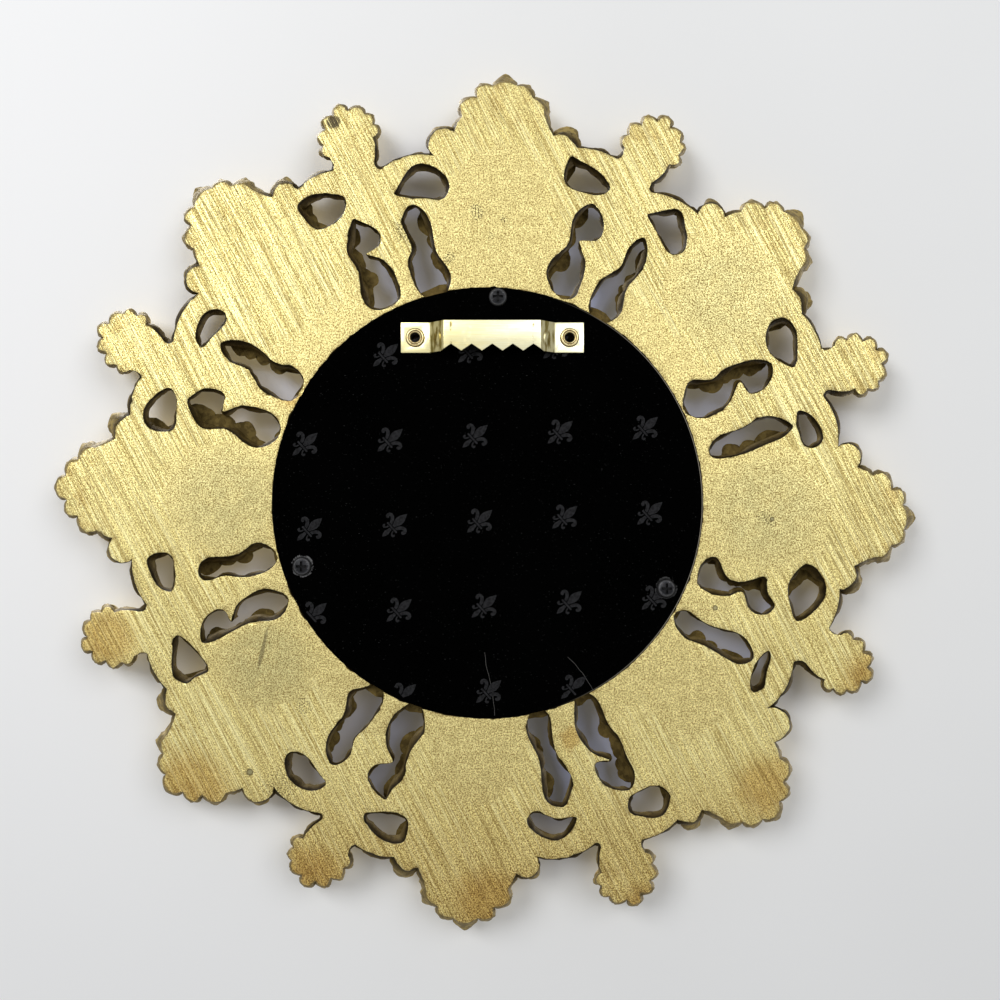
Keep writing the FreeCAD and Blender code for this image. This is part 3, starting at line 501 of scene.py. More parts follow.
# Brown stains on tips and stems, in the same way
STAINED_ZONES = (
    (103.0, -99.0, 17.0), (133.0, -47.0, 14.0), (-133.0, -61.0, 13.0), (-96.0, -98.0, 13.0),
    (0.0, -138.0, 15.0), (61.0, -130.0, 14.0), (-54.0, -140.0, 9.0), (69.0, 36.0, 5.0),
    (-29.0, -82.0, 5.0),
)
# Pitted spots where the paint shrank into the casting's pores
PITTED_ZONES = (
    (72.0, -99.0, 7.0), (3.5, 102.0, 2.2), (-1.5, 93.0, 1.6), (27.0, 95.0, 5.5), (64.0, -71.0, 3.0),
    (31.0, -112.0, 4.0), (-5.0, 99.0, 1.4), (-97.0, -6.0, 3.0), (13.0, 86.0, 1.6),
)
# Duller film left on the sprayed zones
DULLED_ZONES = ((-97.0, -3.0, 21.0), (91.0, 1.0, 20.0), (77.0, -56.0, 16.0), (-84.0, 72.0, 21.0))
# Small round plugs
PLUG_ZONES = ((82.7, -93.6, 1.2), (-79.2, -36.5, 0.9), (-99.0, -5.6, 0.8))


def pencil_marks(gilt, patchy):
    """A faint stroke on the lower left leaf, and a smudge on the upper left palmette."""
    stroke = add(gilt.tree, "ShaderNodeMapping", {
        "Vector": gilt.flat, "Location": (78.2, 0.0, -51.0),
        "Rotation": (0.0, math.radians(-13), 0.0), "Scale": (0.85, 1.0, 9.5),
    }, vector_type="TEXTURE")
    along = gilt.vector("LENGTH", stroke).out("Value")
    drawn = (along + (patchy - 0.5)).fade(0.55, 1.0, 0.55, 0.0)
    near = (gilt.away(53.6, 132.6) + patchy * 1.2).fade(2.4, 3.6, 1.0, 0.0)
    scratched = gilt.scratches(SAND_TURN, 0.05, 2.2, 0.40, 0.50)
    return drawn.most(near * scratched.span(0.45, 1.0))


def gilt_back_material():
    """Speckled gold paint on the casting's back, sanded in streaks, with bronze walls, and painted shade
    on the walls, along the open edges and towards the bottom.
    """
    casting = settings("mirror_casting")
    gilt = Finish("gilt_back")
    depth = gilt.parts.out("Y") * -1.0
    patchy = gilt.grain(0.16, 3.0, 0.6)
    fine = gilt.grain(1.80, 3.0, 0.75)
    flakes = add(gilt.tree, "ShaderNodeTexVoronoi", {"Vector": gilt.where, "Scale": 2.1}).out("Color")
    flake_tone = add(gilt.tree, "ShaderNodeSeparateColor", {0: flakes})
    wander = (patchy - 0.5) * 26.0
    small_wander = wander * 0.4
    from_axis = gilt.away(0.0, 0.0) + wander
    beside_panel = from_axis.fade(84.0, 94.0, 1.0, 0.0)
    sprayed = gilt.zones(SPRAYED_ZONES, wander, 0.82, 1.10).most(beside_panel)

    # Speckle of light and olive flakes
    tone = (fine * 0.62 + gilt.grain(2.8, 2.0, 0.6) * 0.38).fade(0.450, 0.540)
    tone = (tone * 0.74).math("ADD", flake_tone * 0.28, clamp=True)
    gilt.ground(tone, casting.olive_gold, casting.light_gold)

    # Sanded streaks, bright where the paint is polished and dark where it is cut
    sanded = sprayed.rest() * gilt.grain(0.035).fade(0.25, 0.50, 0.55, 1.0)
    bright = gilt.scratches(SAND_TURN, 0.016, 1.9, 0.50, 0.60)
    dark = gilt.scratches(SAND_TURN + 0.035, 0.014, 1.5, 0.53, 0.63)
    thin = gilt.scratches(SAND_TURN - 0.045, 0.018, 2.3, 0.53, 0.61)
    cuts = (dark * 0.62).most(thin * 0.66) * sanded
    gilt.paint(cuts, (0.29, 0.195, 0.042))
    gilt.paint(bright * sanded * 0.50, (1.0, 0.95, 0.52))

    # Cooler and cloudy where it was only sprayed, duller in patches, and darker and browner towards the
    # bottom as painted shade
    gilt.tint(sprayed, (0.95, 0.95, 1.0))
    clouds = gilt.grain(0.30, 4.0, 0.65).fade(0.40, 0.62, 1.0, 0.0)
    gilt.tint(clouds * sprayed.span(0.35, 0.90), (0.84, 0.82, 0.78))
    dulled = gilt.zones(DULLED_ZONES, wander * 0.9, 0.55, 1.20)
    gilt.tint(dulled * patchy.fade(0.30, 0.62, 0.45, 1.0), (0.81, 0.835, 0.87))
    # painted shade: the lower side darker and browner, its dark flakes most
    shaded_lower_side = (gilt.parts.out("Z") + wander).fade(-136.0, -82.0, 1.0, 0.0)
    gilt.tint(shaded_lower_side, (0.93, 0.87, 0.78))
    gilt.tint(shaded_lower_side * tone.rest(), (0.60, 0.53, 0.44))

    # Warm stains towards the tips, pits, plugs, marks and freckles, and a dark line along the open edges
    # as painted shade
    stain = from_axis.fade(118.0, 152.0) * patchy.fade(0.46, 0.66)
    gilt.tint(stain * 0.75, (0.74, 0.65, 0.54))
    gilt.tint(gilt.zones(STAINED_ZONES, small_wander, 0.35, 1.05), (0.80, 0.685, 0.53))
    pits = gilt.zones(PITTED_ZONES, small_wander, 0.5, 1.2) * fine.fade(0.40, 0.48, 1.0, 0.0)
    gilt.paint(pits * 0.85, (0.085, 0.055, 0.018))
    gilt.paint(gilt.zones(PLUG_ZONES, 0.0, 0.95, 1.15) * 0.85, (0.10, 0.075, 0.025))
    gilt.paint(gilt.zones(PLUG_ZONES, 0.0, 0.45, 0.75) * 0.75, (0.36, 0.33, 0.17))
    gilt.paint(pencil_marks(gilt, patchy), (0.075, 0.058, 0.028))
    freckles = gilt.grain(0.75, 2.0, 0.7).fade(0.66, 0.74)
    gilt.paint(freckles * 0.50, (0.30, 0.19, 0.06))
    # painted shade: a broken dark line along the open edges of the flat back
    edge_shade = gilt.attribute("edge") * gilt.grain(0.36, 3.0, 0.75).fade(0.46, 0.66)
    gilt.paint(edge_shade * 0.72, (0.170, 0.108, 0.032))

    # Walls: umber and bronze in the openings, kept dark as painted shade and near-black as painted shade
    # just under the flat back; rubbed gold on the lobes that flare out
    on_wall = depth.fade(0.12, 0.45)
    lobes = gilt.away(0.0, 0.0).fade(126.0, 137.0)
    showing = depth.fade(1.2, 5.0, 0.10, 0.95).most(lobes * 0.70)
    rubbed = gilt.grain(0.55).fade(0.40, 0.62).span(0.45, 1.0)
    # painted shade: the walls' umber and bronze are kept dark to the shade in the openings
    wall = gilt.mix(gilt.grain(0.30).fade(0.36, 0.64), (0.034, 0.021, 0.007), casting.bronze)
    wall = gilt.mix(rubbed * showing * lobes.span(0.30, 1.0), wall, (0.40, 0.295, 0.092))
    # painted shade: near-black on the walls just under the flat back, not on the lobes
    wall = gilt.mix(depth.fade(0.2, 3.2).most(lobes), (0.016, 0.011, 0.004), wall)
    gilt.paint(on_wall, wall)
    dull = on_wall * (1.0 - lobes * 0.45)

    relief = fine * 0.8 + flake_tone * 0.35 - cuts * 0.9 - freckles.most(pits)
    rough = tone.span(0.54, 0.34).math("ADD", dull * 0.30, clamp=True)
    return gilt.done(rough, dull.span(0.74, 0.15), dull.span(0.50, 0.05), (relief, 0.9, 0.00012))


def antique_gold_material(name="antique_gold", hollow_name="hollow"):
    """Carved front: gold leaf rubbed bright on the heights, umber left in the hollows."""
    gold = Finish(name)
    fine = gold.grain(1.2, 3.0, 0.7)
    gold.ground(fine.fade(0.36, 0.62), (0.50, 0.365, 0.120), (0.80, 0.66, 0.315))
    gold.paint(gold.grain(0.14, 3.0, 0.6).fade(0.50, 0.70) * 0.35, (0.40, 0.25, 0.08))
    dirt = gold.attribute(hollow_name).math("ADD", (fine - 0.5) * 0.5, clamp=True).fade(0.28, 0.85)
    gold.paint(dirt * 0.92, settings("mirror_casting").umber)
    return gold.done(dirt.span(0.34, 0.66), 0.66, bump=(fine, 0.45, 0.00008))


def sheet_material():
    """Near-black printed sheet with dust, faint rub marks and a pale line along its cut edge on the -X
    side.
    """
    sheet = Finish("black_sheet")
    specks = sheet.grain(2.4, 1.0).fade(0.735, 0.79)
    sheet.ground(specks * 0.55, settings("mirror_back").sheet_black, (0.07, 0.07, 0.07))
    rubs = sheet.scratches(math.radians(35), 0.02, 1.6, 0.66, 0.76)
    sheet.paint(rubs * 0.04, (0.03, 0.03, 0.03))
    haze = sheet.grain(0.03, 3.0, 0.6).fade(0.40, 0.70, 0.0, 0.35)
    sheet.paint(haze * 0.03, (0.02, 0.02, 0.021))
    torn = sheet.grain(0.38, 3.0, 0.8).fade(0.36, 0.60)
    for name, strength in (("screw_lower_left", 0.85), ("screw_lower_right", 0.30)):
        across, up, head = round_of(name)
        away = sheet.away(across, up) + torn * -0.55
        flaked = away.band(head - 0.5, head - 0.1, head + 0.15, head + 0.4)
        sheet.paint(flaked * (torn * strength), (0.17, 0.17, 0.17))
    edge = 1000 * PANEL_RADIUS
    # a pale line along the cut edge, on the -X side only
    pale_edge_line = sheet.away(0.0, 0.0).fade(edge - 0.30, edge - 0.05) * sheet.parts.out("X").fade(-20.0, -62.0)
    sheet.paint(pale_edge_line * 0.75, (0.42, 0.38, 0.30))
    return sheet.done(0.8, specular=0.004, bump=(sheet.grain(2.0), 0.2, 0.00003))


def print_material():
    """Grey ink of the lilies, thin and slightly broken."""
    ink = Finish("lily_print")
    thin = ink.grain(0.9, 3.0, 0.7).fade(0.40, 0.62)
    ink.ground(thin * 0.55, settings("mirror_back").print_grey, (0.006, 0.006, 0.006))
    return ink.done(0.8, specular=0.004)


def lint_material():
    """Pale fibres caught on the sheet."""
    lint = Finish("lint")
    lint.ground(lint.grain(0.6), (0.035, 0.034, 0.032), (0.11, 0.105, 0.10))
    return lint.done(0.9)


def brass_material():
    """Bright rolled sheet metal, dulled in patches, with an oval rib pressed in each slope, painted dark
    reflection bands down the slopes, a painted dark line at the second bend and painted shade round each
    rib.
    """
    brass = Finish("pale_brass")
    middle = 500 * (HANGER_LOW + HANGER_HIGH)
    across = brass.parts.out("X")
    from_end = 500 * (HANGER_HIGH.x - HANGER_LOW.x) - (across - middle.x).math("ABSOLUTE")
    rolled = brass.grain(1.0, 3.0, 0.6, brass.place(stretch=(0.10, 2.0, 4.0)))
    streaks = brass.grain(1.0, 2.0, 0.5, brass.place(stretch=(1.15, 0.2, 0.16)))
    dull = brass.grain(0.5, 3.0, 0.6).fade(0.52, 0.70)
    brass.ground(rolled.fade(0.38, 0.60), (0.95, 0.88, 0.54), settings("mirror_back").brass)
    brass.paint(dull * 0.22, (0.70, 0.58, 0.30))
    # painted reflection: dark streaky bands down the slopes; painted shade: a dark line at the second bend
    slope = from_end.band(9.9, 10.5, 14.9, 15.4) * streaks.fade(0.36, 0.56, 1.0, 0.0).span(0.60, 1.0)
    second_bend = from_end.band(17.0, 17.4, 17.7, 18.2) * (dull * 0.9)
    brass.paint(slope.most(second_bend) * 0.95, (0.155, 0.118, 0.016))
    wide = ((from_end - 13.0) / 1.25).math("POWER", 2.0)
    tall = ((brass.parts.out("Z") - (middle.z - 0.7)) / 2.6).math("POWER", 2.0)
    oval = (wide + tall).math("SQRT")
    # painted shade round the rim of each pressed oval rib
    brass.paint(oval.band(0.7, 0.95, 1.0, 1.3) * 0.55, (0.20, 0.14, 0.04))
    brass.tint(across.fade(middle.x - 4.0, middle.x + 15.0, 0.0, 0.75), (1.0, 0.95, 0.72))
    relief = rolled * 0.05 + oval.fade(0.45, 1.0, 1.0, 0.0)
    return brass.done(dull.span(0.30, 0.42), 0.90, bump=(relief, 0.8, 0.00040))


def rivet_material():
    """Rolled rims of gold-brown rings, with painted shade in the groove, round the outer edge and in the
    bore.
    """
    rivet = Finish("rivet_brass")
    spots = rivet.grain(1.6, 3.0, 0.6)
    away = rivet.away_from(RIVETS) + (spots - 0.5) * 0.35
    rim = round_of(RIVETS[0])[2]
    rivet.ground(spots.fade(0.36, 0.62), (0.66, 0.50, 0.20), (0.95, 0.84, 0.46))
    # painted shade in the groove between the rolled rims and round the outer edge
    groove = away.band(rim - 1.25, rim - 1.10, rim - 0.85, rim - 0.70)
    rivet.paint(groove.most(away.fade(rim - 0.38, rim - 0.20)), (0.10, 0.060, 0.020))
    # painted shade: the bore near black
    rivet.paint(away.fade(rim - 1.75, rim - 1.35, 1.0, 0.0), (0.030, 0.018, 0.010))
    return rivet.done(spots.fade(0.3, 0.7, 0.30, 0.50), 0.75, bump=(spots, 0.3, 0.00004))


def screw_material():
    """Blackened steel, worn in patches and lighter round the head's rim, with rust specks, and painted
    shade in the head's middle and low down next to the sheet.
    """
    screw = Finish("dark_steel")
    worn = screw.grain(1.3, 3.0, 0.7).fade(0.50, 0.66)
    screw.ground(worn * 0.40, settings("mirror_back").steel, (0.10, 0.10, 0.10))
    screw.paint(screw.grain(2.2).fade(0.62, 0.70), (0.07, 0.045, 0.025))
    away = screw.away_from(SCREWS) + (worn - 0.5) * 0.3
    head = round_of(SCREWS[-1])[2]
    # painted shade: the head's middle near black
    screw.paint(away.fade(head - 1.5, head - 0.8, 0.85, 0.0), (0.006, 0.006, 0.007))
    rim = away.band(head - 1.0, head - 0.6, head - 0.35, head - 0.1)
    screw.paint(rim * 0.85, (0.19, 0.19, 0.195))
    # painted shade: near black low down, where the screw meets the sheet
    screw.paint(screw.parts.out("Y").fade(0.85, 1.55, 1.0, 0.0), (0.004, 0.004, 0.004))
    return screw.done(worn.span(0.42, 0.60), 0.35, 0.22, (screw.grain(2.5), 0.3, 0.00004))


def washer_material():
    """Plain zinc-plated steel with faint blotches."""
    steel = Finish("plain_steel")
    blotch = steel.grain(0.9, 3.0, 0.6)
    steel.ground(blotch.fade(0.35, 0.65), (0.36, 0.37, 0.38), (0.62, 0.63, 0.64))
    return steel.done(blotch.fade(0.3, 0.7, 0.28, 0.46), 0.9)


def mirror_material():
    """Silvered plate glass, with the faint green of its ground edge."""
    glass = Finish("mirror_plate")
    smear = glass.grain(0.05, 3.0, 0.6).fade(0.45, 0.75)
    edge = 1000 * GLASS_RADIUS
    from_axis = glass.vector("LENGTH", glass.flat).out("Value")
    glass.ground(smear, (0.90, 0.92, 0.915), (0.87, 0.89, 0.885))
    glass.paint(from_axis.fade(edge - 0.5, edge - 0.1), (0.42, 0.56, 0.50))
    return glass.done(smear.span(0.012, 0.030), 1.0)


def silvering_material():
    """Grey protective paint over the silvering."""
    coat = Finish("silvering")
    brushed = coat.grain(1.0, 3.0, 0.6, coat.place(stretch=(0.06, 1.0, 1.2)))
    coat.ground(brushed.fade(0.35, 0.65), (0.20, 0.21, 0.215), (0.30, 0.31, 0.315))
    return coat.done(0.55, bump=(brushed, 0.3, 0.00003))


def cushion_material():
    """White foam disc with fine open cells."""
    foam = Finish("soft_pad")
    cells = add(foam.tree, "ShaderNodeTexVoronoi", {"Vector": foam.where, "Scale": 1.8}).out("Distance")
    foam.ground(cells.fade(0.1, 0.6), (0.56, 0.56, 0.54), (0.80, 0.80, 0.78))
    return foam.done(0.9, bump=(cells, 0.6, 0.00015))


def fibreboard_material():
    """Brown pressed fibreboard with loose fibres."""
    board = Finish("fibreboard")
    fibres = board.grain(1.0, 4.0, 0.7, board.place(0.5, (0.4, 3.0, 1.6)))
    board.ground(fibres.fade(0.35, 0.65), (0.20, 0.115, 0.055), (0.36, 0.235, 0.13))
    board.paint(board.grain(1.2).fade(0.62, 0.72), (0.10, 0.055, 0.025))
    return board.done(0.82, bump=(fibres, 0.5, 0.0001))


def table_material():
    """Pale table, seen only from the mirror's back, so that it hides and darkens nothing of the mirror,
    with a painted shadow under the mirror and painted light towards +X and the top.
    """
    white = settings("mirror_studio").table_white
    table = Finish("table_top")
    table.ground(table.grain(0.010).fade(0.3, 0.7), white, [c * 0.985 for c in white])
    from_axis = table.vector("LENGTH", table.where).out("Value")
    across, up = table.parts.out("X"), table.parts.out("Z")
    # painted shadow under the mirror, bluish grey where it shows through the openings, stronger towards +X
    shade = table.mix(from_axis.fade(112.0, 126.0), (0.25, 0.345, 0.78), (0.195, 0.235, 0.43))
    painted_shadow = from_axis.fade(112.0, 148.0, 1.0, 0.0) * across.fade(10.0, -95.0, 0.80, 0.56)
    table.paint(painted_shadow, shade)
    # painted shade under the lower +X part of the mirror
    painted_lower_shade = up.fade(-25.0, -75.0) * across.fade(-60.0, 0.0) * from_axis.fade(105.0, 125.0, 1.0, 0.0)
    table.tint(painted_lower_shade, (0.66, 0.66, 0.68))
    # painted light: brighter towards +X and the top
    lit = across.fade(-60.0, 190.0) * up.fade(-170.0, 40.0, 0.45, 1.0)
    table.paint(lit, (0.925, 0.928, 0.932))
    table.done(0.85, specular=0.1)
    behind = add(table.tree, "ShaderNodeNewGeometry").out("Backfacing")
    seen = seen_directly(table.tree) * (1.0 - behind) * from_axis.fade(300.0, 520.0, 1.0, 0.0)
    clear = add(table.tree, "ShaderNodeBsdfTransparent")
    solid = Signal(table.tree, table.shader.outputs[0])
    shown = add(table.tree, "ShaderNodeMixShader", {0: seen, 1: clear, 2: solid})
    plug(table.tree, table.tree.nodes["Material Output"], {"Surface": shown})
    return table.material


# Casting

MERGE = 1e-6
LEVEL_SLACK = 0.02 * MM
FRONT_CUT = RIM_DEPTH - 0.05 * MM
WALL_LEVELS = (1.1, 2.7, 4.6, 6.6, 8.1)  # in millimetres
SKIN_SPACING = 1.5 * MM
ROW_SHARE = 0.866  # height of an equilateral triangle
METAL_REACH = 40 * MM  # no metal lies further from a border
RAGGED_STEP = 0.55 * MM
MOST_CUTS = 12
OUTER_RADIUS = 112 * MM  # scallops lie outside it
LEAST_FACING = 0.3  # flat part of a wall's normal


def open_edges(mesh, depth):
    """The casting's open edges at one depth."""
    return [
        e for e in mesh.edges
        if len(e.link_faces) == 1 and all(abs(v.co.y + depth) < LEVEL_SLACK for v in e.verts)
    ]


def slice_at(mesh, depth, cut_off=False):
    """Cuts the walls at one depth, and drops what lies in front of it if cut_off is set."""
    everything = list(mesh.verts) + list(mesh.edges) + list(mesh.faces)
    bmesh.ops.bisect_plane(
        mesh, geom=everything, plane_co=(0, -depth, 0), plane_no=(0, -1, 0),
        clear_outer=cut_off, dist=1e-7,
    )


def walk_loops(edges):
    """Closed loops of vertices along open edges."""
    links = {}
    for edge in edges:
        for vertex in edge.verts:
            links.setdefault(vertex, []).append(edge)
    loops, seen = [], set()
    for edge in edges:
        if edge in seen:
            continue
        start, here = edge.verts
        loop = [start]
        seen.add(edge)
        while here is not start:
            loop.append(here)
            onward = [e for e in links[here] if e not in seen]
            if not onward:
                break
            seen.add(onward[0])
            here = onward[0].other_vert(here)
        loops.append(loop)
    return loops


def inward_directions(loop):
    """For each vertex of a loop, the flat direction into the metal."""
    directions = []
    for vertex in loop:
        pull = Vector((0.0, 0.0, 0.0))
        for edge in vertex.link_edges:
            if len(edge.link_faces) == 1:
                normal = edge.link_faces[0].normal
                side = Vector((-normal.x, 0.0, -normal.z))
                if side.length > 1e-9:
                    pull += side.normalized()
        directions.append(pull.normalized() if pull.length > 0.2 else Vector((0.0, 0.0, 0.0)))
    return directions


def border_tree(loops):
    """Points along all loops, close together, for measuring how far away the border is."""
    points = []
    for loop in loops:
        for here, onward in zip(loop, loop[1:] + loop[:1]):
            steps = max(1, int((onward.co - here.co).length / (0.3 * MM)))
            for step in range(steps):
                point = here.co.lerp(onward.co, step / steps)
                points.append((point.x, 0.0, point.z))
    return point_tree(points)


def close_with_skin(mesh, layer, depth, inset, height_at, edge_at, finish=0, ragged_edge=0.0):
    """Closes the casting at one depth with a narrow worn strip and a skin of triangles.

    height_at gives the skin's Y from X, Z and the distance to the border, and edge_at
    the edge attribute from that distance, which marks the worn strip and carries painted shade along the
    back's open edges.
    """
    if ragged_edge:
        by_cuts = {}
        for edge in open_edges(mesh, depth):
            cuts = min(int(edge.calc_length() / RAGGED_STEP), MOST_CUTS)
            by_cuts.setdefault(cuts, []).append(edge)
        for cuts, same in by_cuts.items():
            if cuts:
                bmesh.ops.subdivide_edges(mesh, edges=same, cuts=cuts)
    loops = walk_loops(open_edges(mesh, depth))
    if ragged_edge:
        for loop in loops:
            for vertex, inward in list(zip(loop, inward_directions(loop))):
                bite = 0.30 * max(0.0, noise.noise(vertex.co * 1100.0))
                bite += 1.10 * max(0.0, noise.noise(vertex.co * 240.0) - 0.22)
                vertex.co += inward * (bite * ragged_edge)
    tree = border_tree(loops)
    flat_points, limits, inner, sides = [], [], [], []
    for loop in loops:
        first = len(inner)
        for vertex, inward in zip(loop, inward_directions(loop)):
            ragged = 1.0 + 0.55 * noise.noise(vertex.co * 700.0)
            ragged += 3.2 * max(0.0, noise.noise(vertex.co * 165.0) - 0.12)
            place = vertex.co + inward * (inset * ragged)
            new = mesh.verts.new((place.x, height_at(place.x, place.z, inset * ragged), place.z))
            new[layer] = edge_at(inset * ragged)
            vertex[layer] = 1.0
            inner.append(new)
            sides.append(Vector((inward.x, inward.z)))
            flat_points.append(Vector((place.x, place.z)))
        count = len(loop)
        for index in range(count):
            onward = (index + 1) % count
            corners = loop[index], loop[onward], inner[first + onward], inner[first + index]
            mesh.faces.new(corners).material_index = finish
            limits.append((first + index, first + onward))
    outer = max(max(abs(p.x), abs(p.y)) for p in flat_points)
    rows = int(outer / (SKIN_SPACING * ROW_SHARE)) + 1
    columns = int(outer / SKIN_SPACING) + 1
    for row in range(-rows, rows + 1):
        shift = 0.5 * (row % 2)
        for column in range(-columns, columns + 1):
            x, z = (column + shift) * SKIN_SPACING, row * SKIN_SPACING * ROW_SHARE
            away = tree.find((x, 0.0, z))[2]
            if inset + 0.55 * SKIN_SPACING < away < METAL_REACH:
                flat_points.append(Vector((x, z)))
    places, edges, triangles, origins, edge_origins, _ = delaunay_2d_cdt(
        flat_points, limits, [], 1, 1e-8,
    )
    walls = {
        frozenset(edge): sides[limits[origin[0]][0]] + sides[limits[origin[0]][1]]
        for edge, origin in zip(edges, edge_origins) if origin
    }
    triangles = metal_triangles(places, triangles, walls)
    skin = []
    for place, origin in zip(places, origins):
        old = [index for index in origin if index < len(inner)]
        if old:
            skin.append(inner[old[0]])
            continue
        away = tree.find((place.x, 0.0, place.y))[2]
        new = mesh.verts.new((place.x, height_at(place.x, place.y, away), place.y))
        new[layer] = edge_at(away)
        skin.append(new)
    for corners in triangles:
        chosen = [skin[index] for index in corners]
        if len(set(chosen)) == 3:
            mesh.faces.new(chosen).material_index = finish
    loose = [v for v in mesh.verts if not v.link_faces]
    bmesh.ops.delete(mesh, geom=loose, context="VERTS")


def metal_triangles(places, triangles, walls):
    """The triangles that lie in metal and not in an opening.

    walls gives, for each edge of a loop, the flat direction into the metal.
    """
    neighbours = {}
    for index, corners in enumerate(triangles):
        for turn in range(3):
            neighbours.setdefault(frozenset((corners[turn], corners[turn - 1])), []).append(index)
    region = {}
    for first in range(len(triangles)):
        if first in region:
            continue
        votes, members, front = 0.0, [], [first]
        region[first] = first
        while front:
            index = front.pop()
            members.append(index)
            corners = triangles[index]
            for turn in range(3):
                side = frozenset((corners[turn], corners[turn - 1]))
                if side in walls:
                    start, end = places[corners[turn]], places[corners[turn - 1]]
                    inward = (places[corners[turn - 2]] - (start + end) / 2).dot(walls[side]) > 0
                    votes += (end - start).length if inward else -(end - start).length
                    continue
                for other in neighbours[side]:
                    if other not in region:
                        region[other] = first
                        front.append(other)
        for index in members:
            region[index] = votes > 0
    return [corners for index, corners in enumerate(triangles) if region[index]]


def carved_cover():
    """The carved pieces' front, for keeping the casting's skin underneath."""
    vertices, faces = [], []
    for piece in bpy.context.scene.objects:
        if piece.name.startswith(("leaf_", "overleaf_", "palmette_", "ring_")):
            first = len(vertices)
            vertices += [v.co.copy() for v in piece.data.vertices]
            faces += [[first + i for i in f.vertices] for f in piece.data.polygons]
    return BVHTree.FromPolygons(vertices, faces)


class MIRROR_OT_casting(bpy.types.Operator):
    """Dresses the casting: worn flat back, swelling walls, soft front between the carvings"""
    bl_idname = "mirror.casting"
    bl_label = "Gilt Casting"

    def execute(self, context):
        casting = settings("mirror_casting")
        mesh = bmesh.new()
        mesh.from_mesh(frame["nodes"]["frame"].data)
        bmesh.ops.remove_doubles(mesh, verts=mesh.verts, dist=MERGE)
        slice_at(mesh, FRONT_CUT, cut_off=True)
        flat = [f for f in mesh.faces if all(abs(v.co.y) < MERGE for v in f.verts)]
        bmesh.ops.delete(mesh, geom=flat, context="FACES")
        bmesh.ops.remove_doubles(mesh, verts=mesh.verts, dist=0.03 * MM)
        for level in WALL_LEVELS:
            slice_at(mesh, level * MM)
        mesh.normal_update()
        self.sharpen_scallops(mesh, casting.crown_point)
        mesh.normal_update()
        self.swell_walls(mesh, casting)
        layer = mesh.verts.layers.float.new("edge")
        mesh.normal_update()
        # the edge attribute made here marks the worn strip and carries the painted shade along the back's
        # open edges
        close_with_skin(
            mesh, layer, 0.0, casting.edge_wear,
            lambda x, z, away: -0.04 * MM * max(0.0, 1.0 - away / (0.8 * MM)),
            lambda away: max(0.0, 1.0 - away / (0.7 * MM)), ragged_edge=1.0 * MM,
        )
        for vertex in mesh.verts:
            if abs(vertex.co.y) < MERGE and vertex[layer] == 1.0:
                vertex.co.y = -casting.edge_drop * (1.0 + 0.7 * noise.noise(vertex.co * 520.0))
        cover = carved_cover()
        swell, width = casting.pillow_rise, casting.pillow_width

        def front_height(x, z, away):
            share = min(away / width, 1.0)
            depth = FRONT_CUT + swell * math.sqrt(max(0.0, 1.0 - (1.0 - share) ** 2))
            depth += 0.25 * MM * noise.noise(Vector((x, 0.0, z)) * 260.0) * min(away / (2.0 * MM), 1.0)
            hit = cover.ray_cast(Vector((x, -0.05, z)), Vector((0.0, 1.0, 0.0)))[0]
            if hit is not None:
                depth = min(depth, max(-hit.y - 0.5 * MM, FRONT_CUT - 0.4 * MM))
            return -depth

        close_with_skin(
            mesh, layer, FRONT_CUT, 0.45 * MM, front_height,
            lambda away: max(0.0, 1.0 - away / (1.3 * MM)), finish=1,
        )
        bmesh.ops.recalc_face_normals(mesh, faces=mesh.faces)
        piece = new_piece("frame_casting", mesh)
        drop_custom_normals(piece.data)
        smooth_by_angle(piece, 48)
        finish_piece(piece, "gilt_casting", gilt_back_material(), "frame")
        piece.data.materials.append(antique_gold_material("front_gold", "edge"))
        return {"FINISHED"}

    def sharpen_scallops(self, mesh, pull):
        """Draws in the scallops between notch and crown, so that the crowns come to a point."""
        notches, crowns = [], []
        for sector in range(SECTORS):
            for edge in (leaf_edge(sector), palmette_edge(sector)):
                places = [spot(sector, turn, reach, 0.0) for turn, reach in edge]
                notches += places[0::2]
                crowns += places[1::2]
        trees = point_tree(notches), point_tree(crowns)
        for vertex in mesh.verts:
            place = Vector((vertex.co.x, 0.0, vertex.co.z))
            inward = Vector((-vertex.normal.x, 0.0, -vertex.normal.z))
            if place.length < OUTER_RADIUS or inward.length < LEAST_FACING:
                continue
            to_notch, to_crown = (tree.find(place)[2] for tree in trees)
            both = to_notch + to_crown
            share = to_notch / both * to_crown / both * 4
            vertex.co += inward.normalized() * (pull * share * smoothstep(11.5 * MM, 9.0 * MM, both))

    def swell_walls(self, mesh, casting):
        """Bulges the scalloped walls outwards between back and front, and roughens them."""
        moves = []
        for vertex in mesh.verts:
            depth = -vertex.co.y
            radius = math.hypot(vertex.co.x, vertex.co.z)
            if not 0.3 * MM < depth < FRONT_CUT - 0.1 * MM or radius < PANEL_RADIUS + 1.2 * MM:
                continue
            outward = Vector((vertex.normal.x, 0.0, vertex.normal.z))
            if outward.length < LEAST_FACING:
                continue
            outward.normalize()
            swell = casting.wall_swell * math.sin(math.pi * min(depth / RIM_DEPTH, 1.0)) ** 0.7
            rough = 0.28 * MM * noise.noise(vertex.co * 330.0) + 0.14 * MM * noise.noise(vertex.co * 900.0)
            lobe = 1.0 - min(1.0, 3.0 * abs(noise.noise(Vector((vertex.co.x, 0.0, vertex.co.z)) * 115.0)))
            inside = smoothstep(146 * MM, 128 * MM, radius)
            crease = casting.lobe_depth * inside * smoothstep(0.6 * MM, 4.0 * MM, depth)
            rough += crease * (0.55 - lobe)
            moves.append((vertex, outward * (swell + rough)))
        for vertex, move in moves:
            vertex.co += move


# Carved front

